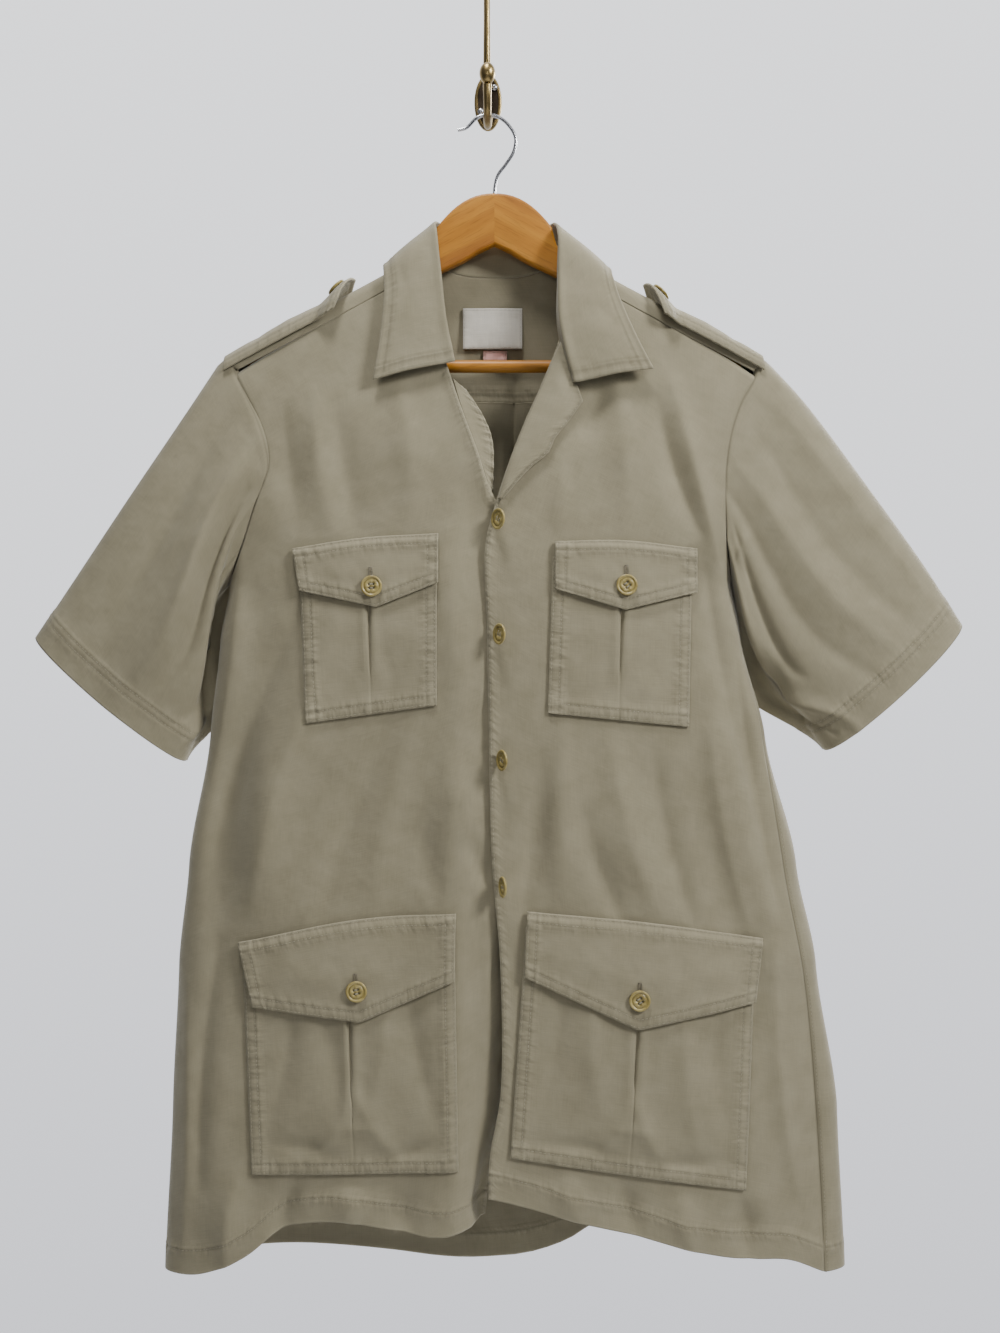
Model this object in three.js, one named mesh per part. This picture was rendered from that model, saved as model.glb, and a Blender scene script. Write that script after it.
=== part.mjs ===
// A short-sleeved bush shirt on a wooden hanger, which hangs by its wire on a brass wall hook.
// Millimetres, +Z up. The front of the shirt faces -Y. The wall is the plane y = 0, and the origin is the
// centre of the wall plate's back. Left and right are those of someone who looks at the shirt.
import * as THREE from "three";

// Cloth and seams
const CLOTH = 1.2; // thickness of one cloth wall
const DOUBLE_CLOTH = 1.8; // thickness where two plies are sewn together
const SEAM_GAP = 0.3; // between two pieces that a seam joins
const LAYER_GAP = 0.5; // between a panel and what is sewn on it

// The body: how it hangs from the hanger
const MIDDLE_Y = -45; // the plane of the hanger, in which the front and back panels meet
const NECK_X = 5.5; // the middle of the neck
const NECK_HALF = 54; // half the width of the neck opening at the shoulders
const NECK_TOP = -130.5; // height of the shoulder line at the neck
const SHOULDER_SLOPE = 0.53;
const NECK_RISE = 6; // how far the shoulder line lifts at the neck
const NECK_RISE_LENGTH = 15;
const BEND = 10; // radius of the cloth's bend over the shoulder line
const FALL = 60; // distance below the shoulder over which the body opens to its depth
const ROUNDNESS = 2.6; // 2 is an ellipse, more is squarer
const UNDERARM_Z = -404;
const EDGE_DEPTH = 14; // depth within which the walls at a side seam thicken sideways
const ARMHOLE_BLEND = 75; // height over which the armhole's edge closes to the underarm
const SIDE_TURN = Math.PI / 2; // angle round the body at its side

// Horizontal sections of the body: its left and right edges, and its depth before and behind the middle.
const SECTIONS = [
  { z: -1000, left: -259, right: 287, front: 42, back: 31 },
  { z: -951, left: -258, right: 286, front: 42, back: 31 },
  { z: -820, left: -252, right: 280, front: 44, back: 30 },
  { z: -707, left: -247, right: 263, front: 44, back: 29 },
  { z: -627, left: -239, right: 247, front: 43, back: 28 },
  { z: -526, left: -222, right: 222, front: 42, back: 27 },
  { z: -450, left: -214, right: 203, front: 41, back: 26 },
  { z: -404, left: -206, right: 195, front: 40, back: 25 },
  { z: -310, left: -200, right: 212, front: 34, back: 22 },
  { z: -230, left: -226, right: 237, front: 26, back: 17 },
  { z: -100, left: -232, right: 243, front: 20, back: 12 },
];

// Large folds: soft ridges (positive) and troughs (negative) along a line, on one face of the body.
const FOLDS = [
  { face: "front", x0: -22, z0: -520, x1: -34, z1: -910, width: 26, depth: 5 },
  { face: "front", x0: -62, z0: -500, x1: -66, z1: -690, width: 30, depth: -4 },
  { face: "front", x0: -196, z0: -440, x1: -168, z1: -660, width: 22, depth: 5 },
  { face: "front", x0: -178, z0: -425, x1: -216, z1: -700, width: 16, depth: -5 },
  { face: "front", x0: -226, z0: -690, x1: -214, z1: -900, width: 20, depth: 5 },
  { face: "front", x0: 172, z0: -430, x1: 226, z1: -700, width: 18, depth: 6 },
  { face: "front", x0: 165, z0: -560, x1: 196, z1: -680, width: 18, depth: -4 },
  { face: "front", x0: 222, z0: -690, x1: 244, z1: -900, width: 22, depth: -5 },
  { face: "front", x0: 70, z0: -590, x1: 100, z1: -650, width: 30, depth: 4 },
  { face: "back", x0: 21, z0: -250, x1: 22, z1: -560, width: 17, depth: 7 },
  { face: "back", x0: -100, z0: -300, x1: -130, z1: -900, width: 38, depth: 6 },
  { face: "back", x0: 132, z0: -330, x1: 168, z1: -900, width: 36, depth: -6 },
  { face: "back", x0: -30, z0: -600, x1: -46, z1: -940, width: 30, depth: -5 },
  { face: "back", x0: 76, z0: -560, x1: 90, z1: -940, width: 32, depth: 5 },
  { face: "back", x0: -190, z0: -430, x1: -150, z1: -620, width: 20, depth: -5 },
];

// Outlines on the front of the body, x and z
const ARMHOLE_TOP = { left: -215.5, right: 225.5 };
const FRONT_SEAM_DROP = 17; // the yoke's front seam below the shoulder line
const BACK_SEAM_Z = -256; // the yoke's back seam
const NECK_BACK_Z = -156; // the neck seam at the middle of the back

const ARMHOLES = {
  left: {
    front: [[-199, -242], [-180, -281], [-173, -312], [-184, -345], [-195, -378], [-206, UNDERARM_Z]],
    back: [[-201, -256], [-186, -300], [-185, -345], [-194, -380], [-206, UNDERARM_Z]],
  },
  right: {
    front: [[212, -244], [199, -268], [190, -303], [188, -345], [190, -378], [195, UNDERARM_Z]],
    back: [[211, -256], [197, -300], [190, -345], [190, -380], [195, UNDERARM_Z]],
  },
};

// The right front lies on top. The left one reaches under it by the width of the button stand.
const FRONT_EDGES = {
  left: [[-48.5, -151], [-47, -172], [-43, -200], [-31, -236], [-21, -266], [-8, -301], [5, -338],
    [24, -366], [24, -680], [20, -760], [6, -840], [-2, -903]],
  right: [[59.5, -151], [59, -172], [58.7, -205], [43, -248], [29, -280], [16, -314], [7, -342],
    [-1.5, -378], [0, -440], [2, -560], [4, -626], [10, -700], [10.5, -800], [2, -850], [1, -882]],
};
const OVERLAP_TOP_Z = -340; // the first front button closes the opening here
const HEMS = {
  left: [[-258, -951], [-226, -948], [-190, -932], [-158, -908], [-115, -901], [-70, -908], [-35, -912], [-2, -903]],
  right: [[1, -882], [33, -890], [75, -902], [120, -913], [162, -925], [198, -932], [236, -935], [266, -948]],
  back: [[286, -952], [240, -953], [190, -954], [100, -951], [50, -936], [0, -931], [-34, -948], [-70, -960],
    [-130, -952], [-190, -946], [-258, -951]],
};
// The right side seam lies a little in front of the body's edge.
const RIGHT_SEAM = [[195, UNDERARM_Z], [214, -500], [236, -640], [251, -720], [260, -820], [264, -890], [266, -948]];

// Pockets on the fronts. A corner is [x, z]; a flap's point hangs from the middle of its lower edge.
const POCKETS = {
  chest_left: {
    flap: { top: [[-152, -379], [-96, -371], [-38, -368]], low: [[-146, -412], [-86, -425], [-38, -406]] },
    bag: { top: [[-147, -391], [-39, -380]], low: [[-140, -515], [-39, -501]] },
    button: [-89, -409],
  },
  chest_right: {
    flap: { top: [[53, -374], [106, -373], [164, -379]], low: [[53, -411], [107, -427], [164, -413]] },
    bag: { top: [[51, -386], [160, -391]], low: [[47, -507], [157, -518]] },
    button: [108, -408],
  },
  hip_left: {
    flap: { top: [[-194, -686], [-104, -667], [-24, -661]], low: [[-182, -735], [-97, -744], [-25, -712]] },
    bag: { top: [[-190, -698], [-25, -673]], low: [[-183, -866], [-22, -860]] },
    button: [-100, -720],
  },
  hip_right: {
    flap: { top: [[31, -660], [126, -669], [215, -683]], low: [[29, -710], [116, -750], [209, -732]] },
    bag: { top: [[30, -672], [209, -695]], low: [[18, -850], [201, -878]] },
    button: [117, -727],
  },
};
const PLEAT = 3.4; // half the width of a pocket's pleat
const PLEAT_DEPTH = 1.6;
const PUFF = { chest: 2.2, hip: 4.5 }; // how far a pocket stands out in its middle
const FLAP_PUFF = 0.6; // a flap stands out this much more
const BAG_ROWS = 8;
const BAG_COLUMNS = [0, 0.04, 0.16, 0.32]; // up to the pleat, and the same on its other side
const FLAP_ROWS = 4;
const FLAP_COLUMNS = 12;

// Buttons
const BUTTON = { radius: 8.2, rim: 1.5, rim_width: 1.9, floor: 0.9 };
const FRONT_BUTTONS = [
  { x: 9, z: -357, turn: 52 },
  { x: 10, z: -446, turn: 56 },
  { x: 12, z: -543, turn: 62 },
  { x: 12.5, z: -640, turn: 72 },
];

// The collar
const STAND_SHARE = 0.55; // the stand's middle row, from the seam to the roll
const LEAF_SHARES = [0.12, 0.55]; // the leaf's rows, from the roll to the free edge
const LEAF_BOW = { out: 1.5, up: 1 };
// From its left end round the back to its right end. Each row is one section through the collar: the seam at
// the neck, the roll at the top and the free edge of the leaf.
const COLLAR = [
  { seam: [-28, -69, -231], roll: [-26, -74, -232], edge: [-89, -76, -247] },
  { seam: [-38, -65, -201], roll: [-33, -72, -198], edge: [-84, -72, -213] },
  { seam: [-43, -61, -170], roll: [-37, -69, -163], edge: [-81, -66, -178] },
  { seam: [-46, -57, -138], roll: [-41, -60, -126], edge: [-82, -59, -157] },
  { seam: [-47.6, -46, -123.6], roll: [-42, -44, -114], edge: [-83, -43, -149] },
  { seam: [-42, -34.4, -144.1], roll: [-34, -28, -112], edge: [-76, -23, -158] },
  { seam: [-22, -33.4, -153.5], roll: [-18, -25, -112], edge: [-42, -16, -164] },
  { seam: [5.5, -33.1, -155.7], roll: [5.5, -24, -112], edge: [5.5, -14, -165] },
  { seam: [33, -33.4, -153.5], roll: [30, -25, -113], edge: [55, -16, -165] },
  { seam: [53, -34.4, -144.1], roll: [47, -28, -113], edge: [90, -23, -162] },
  { seam: [58.6, -46, -123.6], roll: [54, -44, -115], edge: [98, -43, -152] },
  { seam: [57, -57, -138], roll: [57, -61, -128], edge: [99, -60, -162] },
  { seam: [56, -61, -170], roll: [57, -69, -163], edge: [104, -66, -180] },
  { seam: [55, -66, -197], roll: [57, -74, -190], edge: [116, -72, -211] },
  { seam: [55, -69, -210], roll: [56.5, -76, -211], edge: [130, -75, -236] },
];

// The lapel that is turned out lies on the right front. Its roll follows that front's edge.
const LAPEL_RIGHT = {
  roll: [[59, -214], [43, -249], [29, -281], [16, -315], [8, -341]],
  edge: [[72, -232], [75, -261], [58, -284], [37, -312], [12, -341]],
};
// The left one is turned in: a narrow strip of it shows past the front's edge.
const FACING_LEFT = {
  roll: [[-27, -244], [-20, -268], [-8, -301], [3, -334]],
  edge: [[-17, -252], [-4, -272], [4, -293], [4.5, -334]],
};

// Shoulder straps, measured along x from the armhole to the free tip
const STRAP = { front: 17, back: 21, tip_length: 14, lift: 9, gap: 0.6, thickness: 2 };
const STRAP_WIDTH = [-STRAP.front, -11, -5, 0, 5, 11, STRAP.back]; // distances over the shoulder line
const STRAP_ROWS = 9;
const STRAPS = {
  left: { armhole: -210, tip: -107, button: -120 },
  right: { armhole: 220, tip: 126, button: 138 },
};

// Sleeves: the outer and inner corners of the hem, and the lower edge from the underarm to the hem.
const SLEEVE_HEM = { front: 24, back: 19, steps: 7 };
const SLEEVES = {
  left: {
    outer: [[-215.5, -227], [-250, -279], [-305, -361], [-362, -447]],
    inner: [[-206, UNDERARM_Z], [-219, -420], [-228, -460], [-230, -515], [-242, -546]],
    hem_dip: 6,
  },
  right: {
    outer: [[225.5, -227], [254, -258], [305, -326], [352, -392], [380, -437]],
    inner: [[195, UNDERARM_Z], [206, -450], [235, -484], [253, -514], [270, -537]],
    hem_dip: 8,
  },
};

// Labels sewn inside the back neck
const NECK_LABEL = { x: 4, z: -197, width: 48, height: 33, thickness: 1 };
const SIZE_TAB = { x: 6, z: -219.5, width: 19, height: 10, thickness: 1 };

// Hanger
const WOOD = { thickness: 10, bevel: 3, half_span: 198, top: -91.7, dome_reach: 58, notch: -133, end_rise: 24 };
const WOOD_STATIONS = [0, 10, 20, 30, 38, 45, 50, 54, 60, 70, 90, 120, 155, 180, 192]; // from the middle out
const WOOD_UNDERSIDE = [[120, -193], [60, -163], [24, -146], [0, WOOD.notch]]; // from the bar in to the middle
const EASED = { inset: 0.7, low: 0.25, step: 0.3 }; // the eased edge, as shares of the bevel
const BAR_SOCKET = { over: 8, wall: 4 };
const WOOD_UNDER_CLOTH = 2.6; // the wood's top edge below the shoulder line
const BAR = { radius: 5, z: -230, reach: 160 };
const WIRE_RADIUS = 1.4;
const WIRE = [[-24, -40], [-17, -38], [-8, -29.6], [0, -27.9], [9, -29.6], [17, -36], [22.4, -46], [21, -57], [15, -67],
  [8.4, -76], [6, -85], [5.5, -91.3]];

// Wall hook
const PLATE = { half_width: 11.5, half_height: 23.5, depth: 3, rim: 2, bevel: 1 };
const PRONG = [[-3.6, -14.6], [-9, -15], [-21, -25], [-34, -32], [-45, -33.2], [-55, -28], [-60, -18], [-61, -10]];
const PRONG_RADIUS = 3.4;
const ROD = [[-3.6, 10.4], [-9, 11], [-15, 22], [-18, 42], [-19, 66]];
const ROD_X = -0.8;
const ROD_RADIUS = 2.8;
const KNOB = { radius: 6.4, length: 17 };
const SCREW = { radius: 2.8, height: 1.6, x: -6, z: -8 };

const COLOURS = {
  cloth: 0x8f8a72,
  button: 0xa79a5c,
  wood: 0xc98a43,
  wire: 0xb9bcc0,
  brass: 0x8a6a33,
  bronze: 0x3d342a,
  label: 0xd8d4c8,
  tab: 0xd9a79c,
};

const shirt = new THREE.Group();

// Small helpers
const mix = (a, b, t) => a + (b - a) * t;
const clamp = (value, low, high) => Math.min(high, Math.max(low, value));

function smoothstep(low, high, value) {
  const t = clamp((value - low) / (high - low), 0, 1);
  return t * t * (3 - 2 * t);
}

// Steps from 0 to 1, both included
const steps = (count) => Array.from({ length: count + 1 }, (_, k) => k / count);

// A smooth line through the given points, as count + 1 points evenly along it
function lineThrough(points, count) {
  const vectors = points.map(([x, y, z = 0]) => new THREE.Vector3(x, y, z));
  const curve = new THREE.CatmullRomCurve3(vectors, false, "centripetal");
  return steps(count).map((t) => curve.getPointAt(t).toArray());
}

// A straight blend of the sections next to a height
function sectionAt(z) {
  const lower = Math.max(0, SECTIONS.findLastIndex((row) => row.z <= z));
  const a = SECTIONS[Math.min(lower, SECTIONS.length - 2)];
  const b = SECTIONS[Math.min(lower, SECTIONS.length - 2) + 1];
  const t = clamp((z - a.z) / (b.z - a.z), 0, 1);
  const eased = mix(t, smoothstep(0, 1, t), 0.5);
  const left = mix(a.left, b.left, eased);
  const right = mix(a.right, b.right, eased);
  return {
    centre: (left + right) / 2,
    half: (right - left) / 2,
    front: mix(a.front, b.front, eased),
    back: mix(a.back, b.back, eased),
  };
}

// The shoulder line, which the cloth bends over
function shoulderZ(x) {
  const reach = Math.max(Math.abs(x - NECK_X), NECK_HALF - 4);
  const rise = NECK_RISE * Math.exp((NECK_HALF - 4 - reach) / NECK_RISE_LENGTH);
  return NECK_TOP - NECK_RISE + rise - SHOULDER_SLOPE * (reach - NECK_HALF + 4);
}

// How far the folds push a point of the body outwards
function foldDepth(x, z, face) {
  let sum = 0;
  for (const fold of FOLDS) {
    if (fold.face !== face) continue;
    const dx = fold.x1 - fold.x0;
    const dz = fold.z1 - fold.z0;
    const along = ((x - fold.x0) * dx + (z - fold.z0) * dz) / (dx * dx + dz * dz);
    const held = clamp(along, 0, 1);
    const away = Math.hypot(x - fold.x0 - held * dx, z - fold.z0 - held * dz) / fold.width;
    sum += fold.depth * Math.exp(-away * away) * Math.sin(Math.PI * mix(0.12, 0.88, held));
  }
  return sum;
}

// How far the left front lies behind the right one: a little under it, and rolled in further at the hem.
function underlap(x, z) {
  const under = 4 * smoothstep(-28, -6, x) * smoothstep(OVERLAP_TOP_Z + 30, OVERLAP_TOP_Z - 20, z);
  const rolled = 16 * smoothstep(-30, 12, x) * smoothstep(-640, -880, z);
  return under + rolled;
}

// A point of the body's outer face. sunk moves it inwards.
function bodyPoint(x, z, face, sunk = 0) {
  const section = sectionAt(z);
  const t = clamp(Math.abs(x - section.centre) / section.half, 0, 1);
  const across = (1 - t ** ROUNDNESS) ** (1 / ROUNDNESS);
  const drop = Math.max(0, shoulderZ(x) - z);
  const bend = drop < BEND ? Math.sqrt(BEND * BEND - (BEND - drop) ** 2) : BEND;
  const rim = mix(across, 1, smoothstep(UNDERARM_Z, UNDERARM_Z + ARMHOLE_BLEND, z));
  const open = 1 - Math.exp(-drop / FALL);
  const folds = foldDepth(x, z, face) * Math.min(1, across * 1.6);
  const depth = bend * rim + (section[face] - BEND) * open * across + folds * smoothstep(0, 60, drop) - sunk;
  return new THREE.Vector3(x, MIDDLE_Y + (face === "front" ? -depth : depth), z);
}

// The angle round the body of a point on it: 0 in front, a quarter turn at the right, half a turn behind
function angleOf(x, z, face) {
  const section = sectionAt(z);
  const t = clamp((x - section.centre) / section.half, -1, 1);
  const angle = Math.asin(Math.sign(t) * Math.abs(t) ** (ROUNDNESS / 2));
  return face === "front" ? angle : Math.PI - angle;
}

function pointAtAngle(angle, z, sink) {
  const section = sectionAt(z);
  const sine = Math.sin(angle);
  const x = section.centre + section.half * Math.sign(sine) * Math.abs(sine) ** (2 / ROUNDNESS);
  const face = Math.cos(angle) > 0 ? "front" : "back";
  return bodyPoint(x, z, face, sink ? sink(x, z) : 0);
}

// Fills a four-sided patch between its edges. Each edge is a list of points with any number of numbers.
function patch({ top, bottom, left, right }) {
  const rows = left.length - 1;
  const columns = top.length - 1;
  return steps(rows).map((v, i) =>
    steps(columns).map((u, j) =>
      top[j].map((_, k) => {
        const acrossRow = mix(left[i][k], right[i][k], u);
        const downColumn = mix(top[j][k], bottom[j][k], v);
        const corners = mix(mix(top[0][k], top[columns][k], u), mix(bottom[0][k], bottom[columns][k], u), v);
        return acrossRow + downColumn - corners;
      }),
    ),
  );
}

// Fills a panel of the body between its edges, each a list of [angle, z]. The columns start where the upper
// edge has its points and soon run evenly, so that they never cross.
function bodyPatch({ top, bottom, left, right }, sink) {
  const rows = left.length - 1;
  const columns = top.length - 1;
  const share = (line, j) => (line[j][0] - line[0][0]) / (line[columns][0] - line[0][0]);
  const heightAt = (line, part) => {
    let j = 1;
    while (j < columns && share(line, j) < part) j++;
    const t = (part - share(line, j - 1)) / (share(line, j) - share(line, j - 1));
    return mix(line[j - 1][1], line[j][1], clamp(t, 0, 1));
  };
  const bow = (line, part) => heightAt(line, part) - mix(line[0][1], line[columns][1], part);
  return steps(rows).map((v, i) =>
    steps(columns).map((even, j) => {
      const part = mix(share(top, j), even, smoothstep(0, 0.4, v));
      const angle = mix(left[i][0], right[i][0], part);
      const height = mix(left[i][1], right[i][1], part) + (1 - v) * bow(top, part) + v * bow(bottom, part);
      return pointAtAngle(angle, height, sink);
    }),
  );
}

// A closed mesh from triangles of points, with its faces turned outwards
function closedMesh(name, triangles, colour, roughness = 0.9, metalness = 0) {
  const a = new THREE.Vector3();
  let volume = 0;
  for (const [p, q, r] of triangles) volume += a.crossVectors(p, q).dot(r);
  const turned = volume < 0 ? triangles.map(([p, q, r]) => [p, r, q]) : triangles;
  const geometry = new THREE.BufferGeometry().setFromPoints(turned.flat());
  geometry.computeVertexNormals();
  addMesh(name, geometry, colour, roughness, metalness);
}

function addMesh(name, geometry, colour, roughness, metalness) {
  const material = new THREE.MeshStandardMaterial({ color: colour, roughness, metalness });
  const mesh = new THREE.Mesh(geometry, material);
  mesh.name = name;
  shirt.add(mesh);
}

// The unit normals of a grid of points, pointing to the side that outward gives
function gridNormals(grid, outward, around) {
  const columns = grid[0].length;
  const wrap = (j) => (around ? (j + columns) % columns : clamp(j, 0, columns - 1));
  return grid.map((row, i) =>
    row.map((_, j) => {
      const down = grid[Math.min(i + 1, grid.length - 1)][j].clone().sub(grid[Math.max(i - 1, 0)][j]);
      const over = row[wrap(j + 1)].clone().sub(row[wrap(j - 1)]);
      return down.cross(over).normalize().multiplyScalar(outward);
    }),
  );
}

// A wall of cloth whose outer face is a grid of points. holds(i, j) tells which cells are cloth, and
// inwards(i, j) may give the direction of the thickness where pieces meet at a seam.
function wallTriangles(grid, { thickness = CLOTH, outward = 1, around = false, holds = () => true, inwards }) {
  const normals = gridNormals(grid, outward, around);
  const inner = grid.map((row, i) =>
    row.map((point, j) => {
      const direction = inwards?.(i, j) ?? normals[i][j].clone().negate();
      return point.clone().addScaledVector(direction, thickness);
    }),
  );
  const rows = grid.length - 1;
  const columns = around ? grid[0].length : grid[0].length - 1;
  const next = (j) => (j + 1) % grid[0].length;
  const isCloth = (i, j) => {
    const column = around ? (j + columns) % columns : j;
    return i >= 0 && i < rows && column >= 0 && column < columns && holds(i, column);
  };
  const triangles = [];
  const quad = (a, b, c, d) => triangles.push([a, b, c], [a, c, d]);
  for (let i = 0; i < rows; i++)
    for (let j = 0; j < columns; j++) {
      if (!isCloth(i, j)) continue;
      const k = next(j);
      quad(grid[i][j], grid[i + 1][j], grid[i + 1][k], grid[i][k]);
      quad(inner[i][j], inner[i][k], inner[i + 1][k], inner[i + 1][j]);
      if (!isCloth(i - 1, j)) quad(grid[i][j], grid[i][k], inner[i][k], inner[i][j]);
      if (!isCloth(i + 1, j)) quad(grid[i + 1][k], grid[i + 1][j], inner[i + 1][j], inner[i + 1][k]);
      if (!isCloth(i, j - 1)) quad(grid[i + 1][j], grid[i][j], inner[i][j], inner[i + 1][j]);
      if (!isCloth(i, j + 1)) quad(grid[i][k], grid[i + 1][k], inner[i + 1][k], inner[i][k]);
    }
  return triangles;
}

// Moves the outermost points of a grid inwards in its own surface, to leave half a seam's gap.
function trimSeams(grid, sides, amount = SEAM_GAP / 2) {
  const last = grid.length - 1;
  const end = grid[0].length - 1;
  const pull = (point, towards) => {
    const way = towards.clone().sub(point);
    if (way.length() > amount) point.addScaledVector(way.normalize(), amount);
  };
  if (sides.includes("top")) grid[0].forEach((point, j) => pull(point, grid[1][j]));
  if (sides.includes("bottom")) grid[last].forEach((point, j) => pull(point, grid[last - 1][j]));
  if (sides.includes("left")) grid.forEach((row) => pull(row[0], row[1]));
  if (sides.includes("right")) grid.forEach((row) => pull(row[end], row[end - 1]));
  return grid;
}

// Where two pieces meet at a seam, both walls thicken the same way: down on the shoulder line, level below
// it, and sideways at the body's edges.
function seamInwards(point) {
  const drop = Math.max(0, shoulderZ(point.x) - point.z);
  const angle = Math.acos(clamp(1 - drop / BEND, 0, 1));
  const depth = MIDDLE_Y - point.y;
  const upright = new THREE.Vector3(0, (Math.sign(depth) || 1) * Math.sin(angle), -Math.cos(angle));
  const atEdge = (1 - clamp(Math.abs(depth) / EDGE_DEPTH, 0, 1)) * smoothstep(0, 3 * BEND, drop - 2 * BEND);
  const sideways = Math.sign(sectionAt(point.z).centre - point.x);
  return upright.multiplyScalar(1 - atEdge).add(new THREE.Vector3(sideways * atEdge, 0, 0)).normalize();
}

// Yoke
const SHOULDER_COLUMNS = 8;
const NECK_COLUMNS = 10;
const FRONT_YOKE_ROWS = 4;
const NECK_ROWS = 2;
const BACK_YOKE_ROWS = 4;
const yokeRows = FRONT_YOKE_ROWS + NECK_ROWS + BACK_YOKE_ROWS;

// A point at a distance over the shoulder line: negative in front of it, positive behind it
function overShoulder(x, distance, raised = 0) {
  const bendLength = (BEND * Math.PI) / 2;
  const way = Math.abs(distance);
  const drop = way < bendLength ? BEND * (1 - Math.cos(way / BEND)) : BEND + way - bendLength;
  const point = bodyPoint(x, shoulderZ(x) - drop, distance < 0 ? "front" : "back");
  if (raised === 0) return point;
  const angle = Math.min(way / BEND, SIDE_TURN) * Math.sign(distance);
  return point.add(new THREE.Vector3(0, Math.sin(angle) * raised, Math.cos(angle) * raised));
}

// The distance over the shoulder line at which the cloth is a given drop below it
const distanceOf = (drop) => (drop < BEND ? BEND * Math.acos(1 - drop / BEND) : drop - BEND + (BEND * Math.PI) / 2);

// The neck seam behind the shoulder line
function neckBackZ(x) {
  const reach = clamp(Math.abs(x - NECK_X) / NECK_HALF, 0, 1);
  return mix(NECK_BACK_Z, shoulderZ(NECK_X + NECK_HALF) - 6, reach ** 3);
}

// Where a row of the yoke ends at the armhole
function yokeEndX(side, row) {
  const top = ARMHOLE_TOP[side];
  const isFront = row > BACK_YOKE_ROWS + NECK_ROWS;
  const seam = isFront ? ARMHOLES[side].front[0] : ARMHOLES[side].back[0];
  const share = yokeDistance(row, top) / yokeDistance(isFront ? yokeRows : 0, top);
  return mix(top, seam[0], share);
}

// The distance over the shoulder of one row of the yoke, at an x. Row 0 is the back seam.
function yokeDistance(row, x) {
  const shoulder = shoulderZ(x);
  const back = distanceOf(shoulder - BACK_SEAM_Z);
  const neck = distanceOf(shoulder - (Math.abs(x - NECK_X) < NECK_HALF ? neckBackZ(x) : shoulder - 6));
  const front = -distanceOf(FRONT_SEAM_DROP);
  if (row <= BACK_YOKE_ROWS) return mix(back, neck, row / BACK_YOKE_ROWS);
  if (row <= BACK_YOKE_ROWS + NECK_ROWS) return mix(neck, 0, (row - BACK_YOKE_ROWS) / NECK_ROWS);
  return mix(0, front, (row - BACK_YOKE_ROWS - NECK_ROWS) / FRONT_YOKE_ROWS);
}

function yokeGrid() {
  const stations = [
    ...steps(SHOULDER_COLUMNS).map((t) => ({ from: "left", t })),
    ...steps(NECK_COLUMNS).slice(1).map((t) => ({ from: "neck", t })),
    ...steps(SHOULDER_COLUMNS).slice(1).map((t) => ({ from: "right", t })),
  ];
  return steps(yokeRows).map((_, row) =>
    stations.map(({ from, t }) => {
      const leftX = yokeEndX("left", row);
      const rightX = yokeEndX("right", row);
      const neckLeft = NECK_X - NECK_HALF;
      const neckRight = NECK_X + NECK_HALF;
      const x = from === "left" ? mix(leftX, neckLeft, t)
        : from === "neck" ? mix(neckLeft, neckRight, t) : mix(neckRight, rightX, t);
      return overShoulder(x, yokeDistance(row, x));
    }),
  );
}

const yokePoints = yokeGrid();

function makeYoke() {
  const grid = trimSeams(yokePoints.map((row) => row.map((point) => point.clone())), ["top", "bottom", "left", "right"]);
  const isNeck = (j) => j >= SHOULDER_COLUMNS && j < SHOULDER_COLUMNS + NECK_COLUMNS;
  const holds = (i, j) => !(isNeck(j) && i >= BACK_YOKE_ROWS);
  const end = grid[0].length - 1;
  const inwards = (i, j) => {
    if (j !== 0 && j !== end && i !== 0 && i !== yokeRows) return undefined;
    return seamInwards(grid[i][j]);
  };
  closedMesh("yoke", wallTriangles(grid, { holds, inwards }), COLOURS.cloth);
}

// Below the yoke an armhole is cut into the panels.
const ARMHOLE_ROWS = 9;
const armholeLine = (side, face) => lineThrough(ARMHOLES[side][face], ARMHOLE_ROWS);

// Panels
const SIDE_ROWS = 13;
const FRONT_COLUMNS = 15;
const BACK_COLUMNS = 30;

const atAngles = (line, face) => line.map(([x, z]) => [angleOf(x, z, face), z]);

// The outer edge of a panel: its armhole, then its side seam
function sideLine(side, face) {
  const armhole = atAngles(armholeLine(side, face), face);
  if (side === "right") return [...armhole, ...atAngles(lineThrough(RIGHT_SEAM, SIDE_ROWS).slice(1), "front")];
  const corner = HEMS.left[0][1];
  const turn = face === "front" ? -SIDE_TURN : SIDE_TURN * 3;
  return [...armhole, ...steps(SIDE_ROWS).slice(1).map((t) => [turn, mix(UNDERARM_Z, corner, t)])];
}

// The yoke's front edge, as the front panel's upper edge, from the armhole to the neck
function frontTopLine(side) {
  const row = yokePoints[yokeRows];
  const end = row.length - 1;
  const part = side === "left" ? row.slice(0, SHOULDER_COLUMNS + 1) : row.slice(end - SHOULDER_COLUMNS);
  const doubled = [];
  part.forEach((point, k) => {
    if (k > 0) doubled.push([mix(part[k - 1].x, point.x, 0.5), mix(part[k - 1].z, point.z, 0.5)]);
    doubled.push([point.x, point.z]);
  });
  return atAngles(doubled, "front");
}

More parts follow.
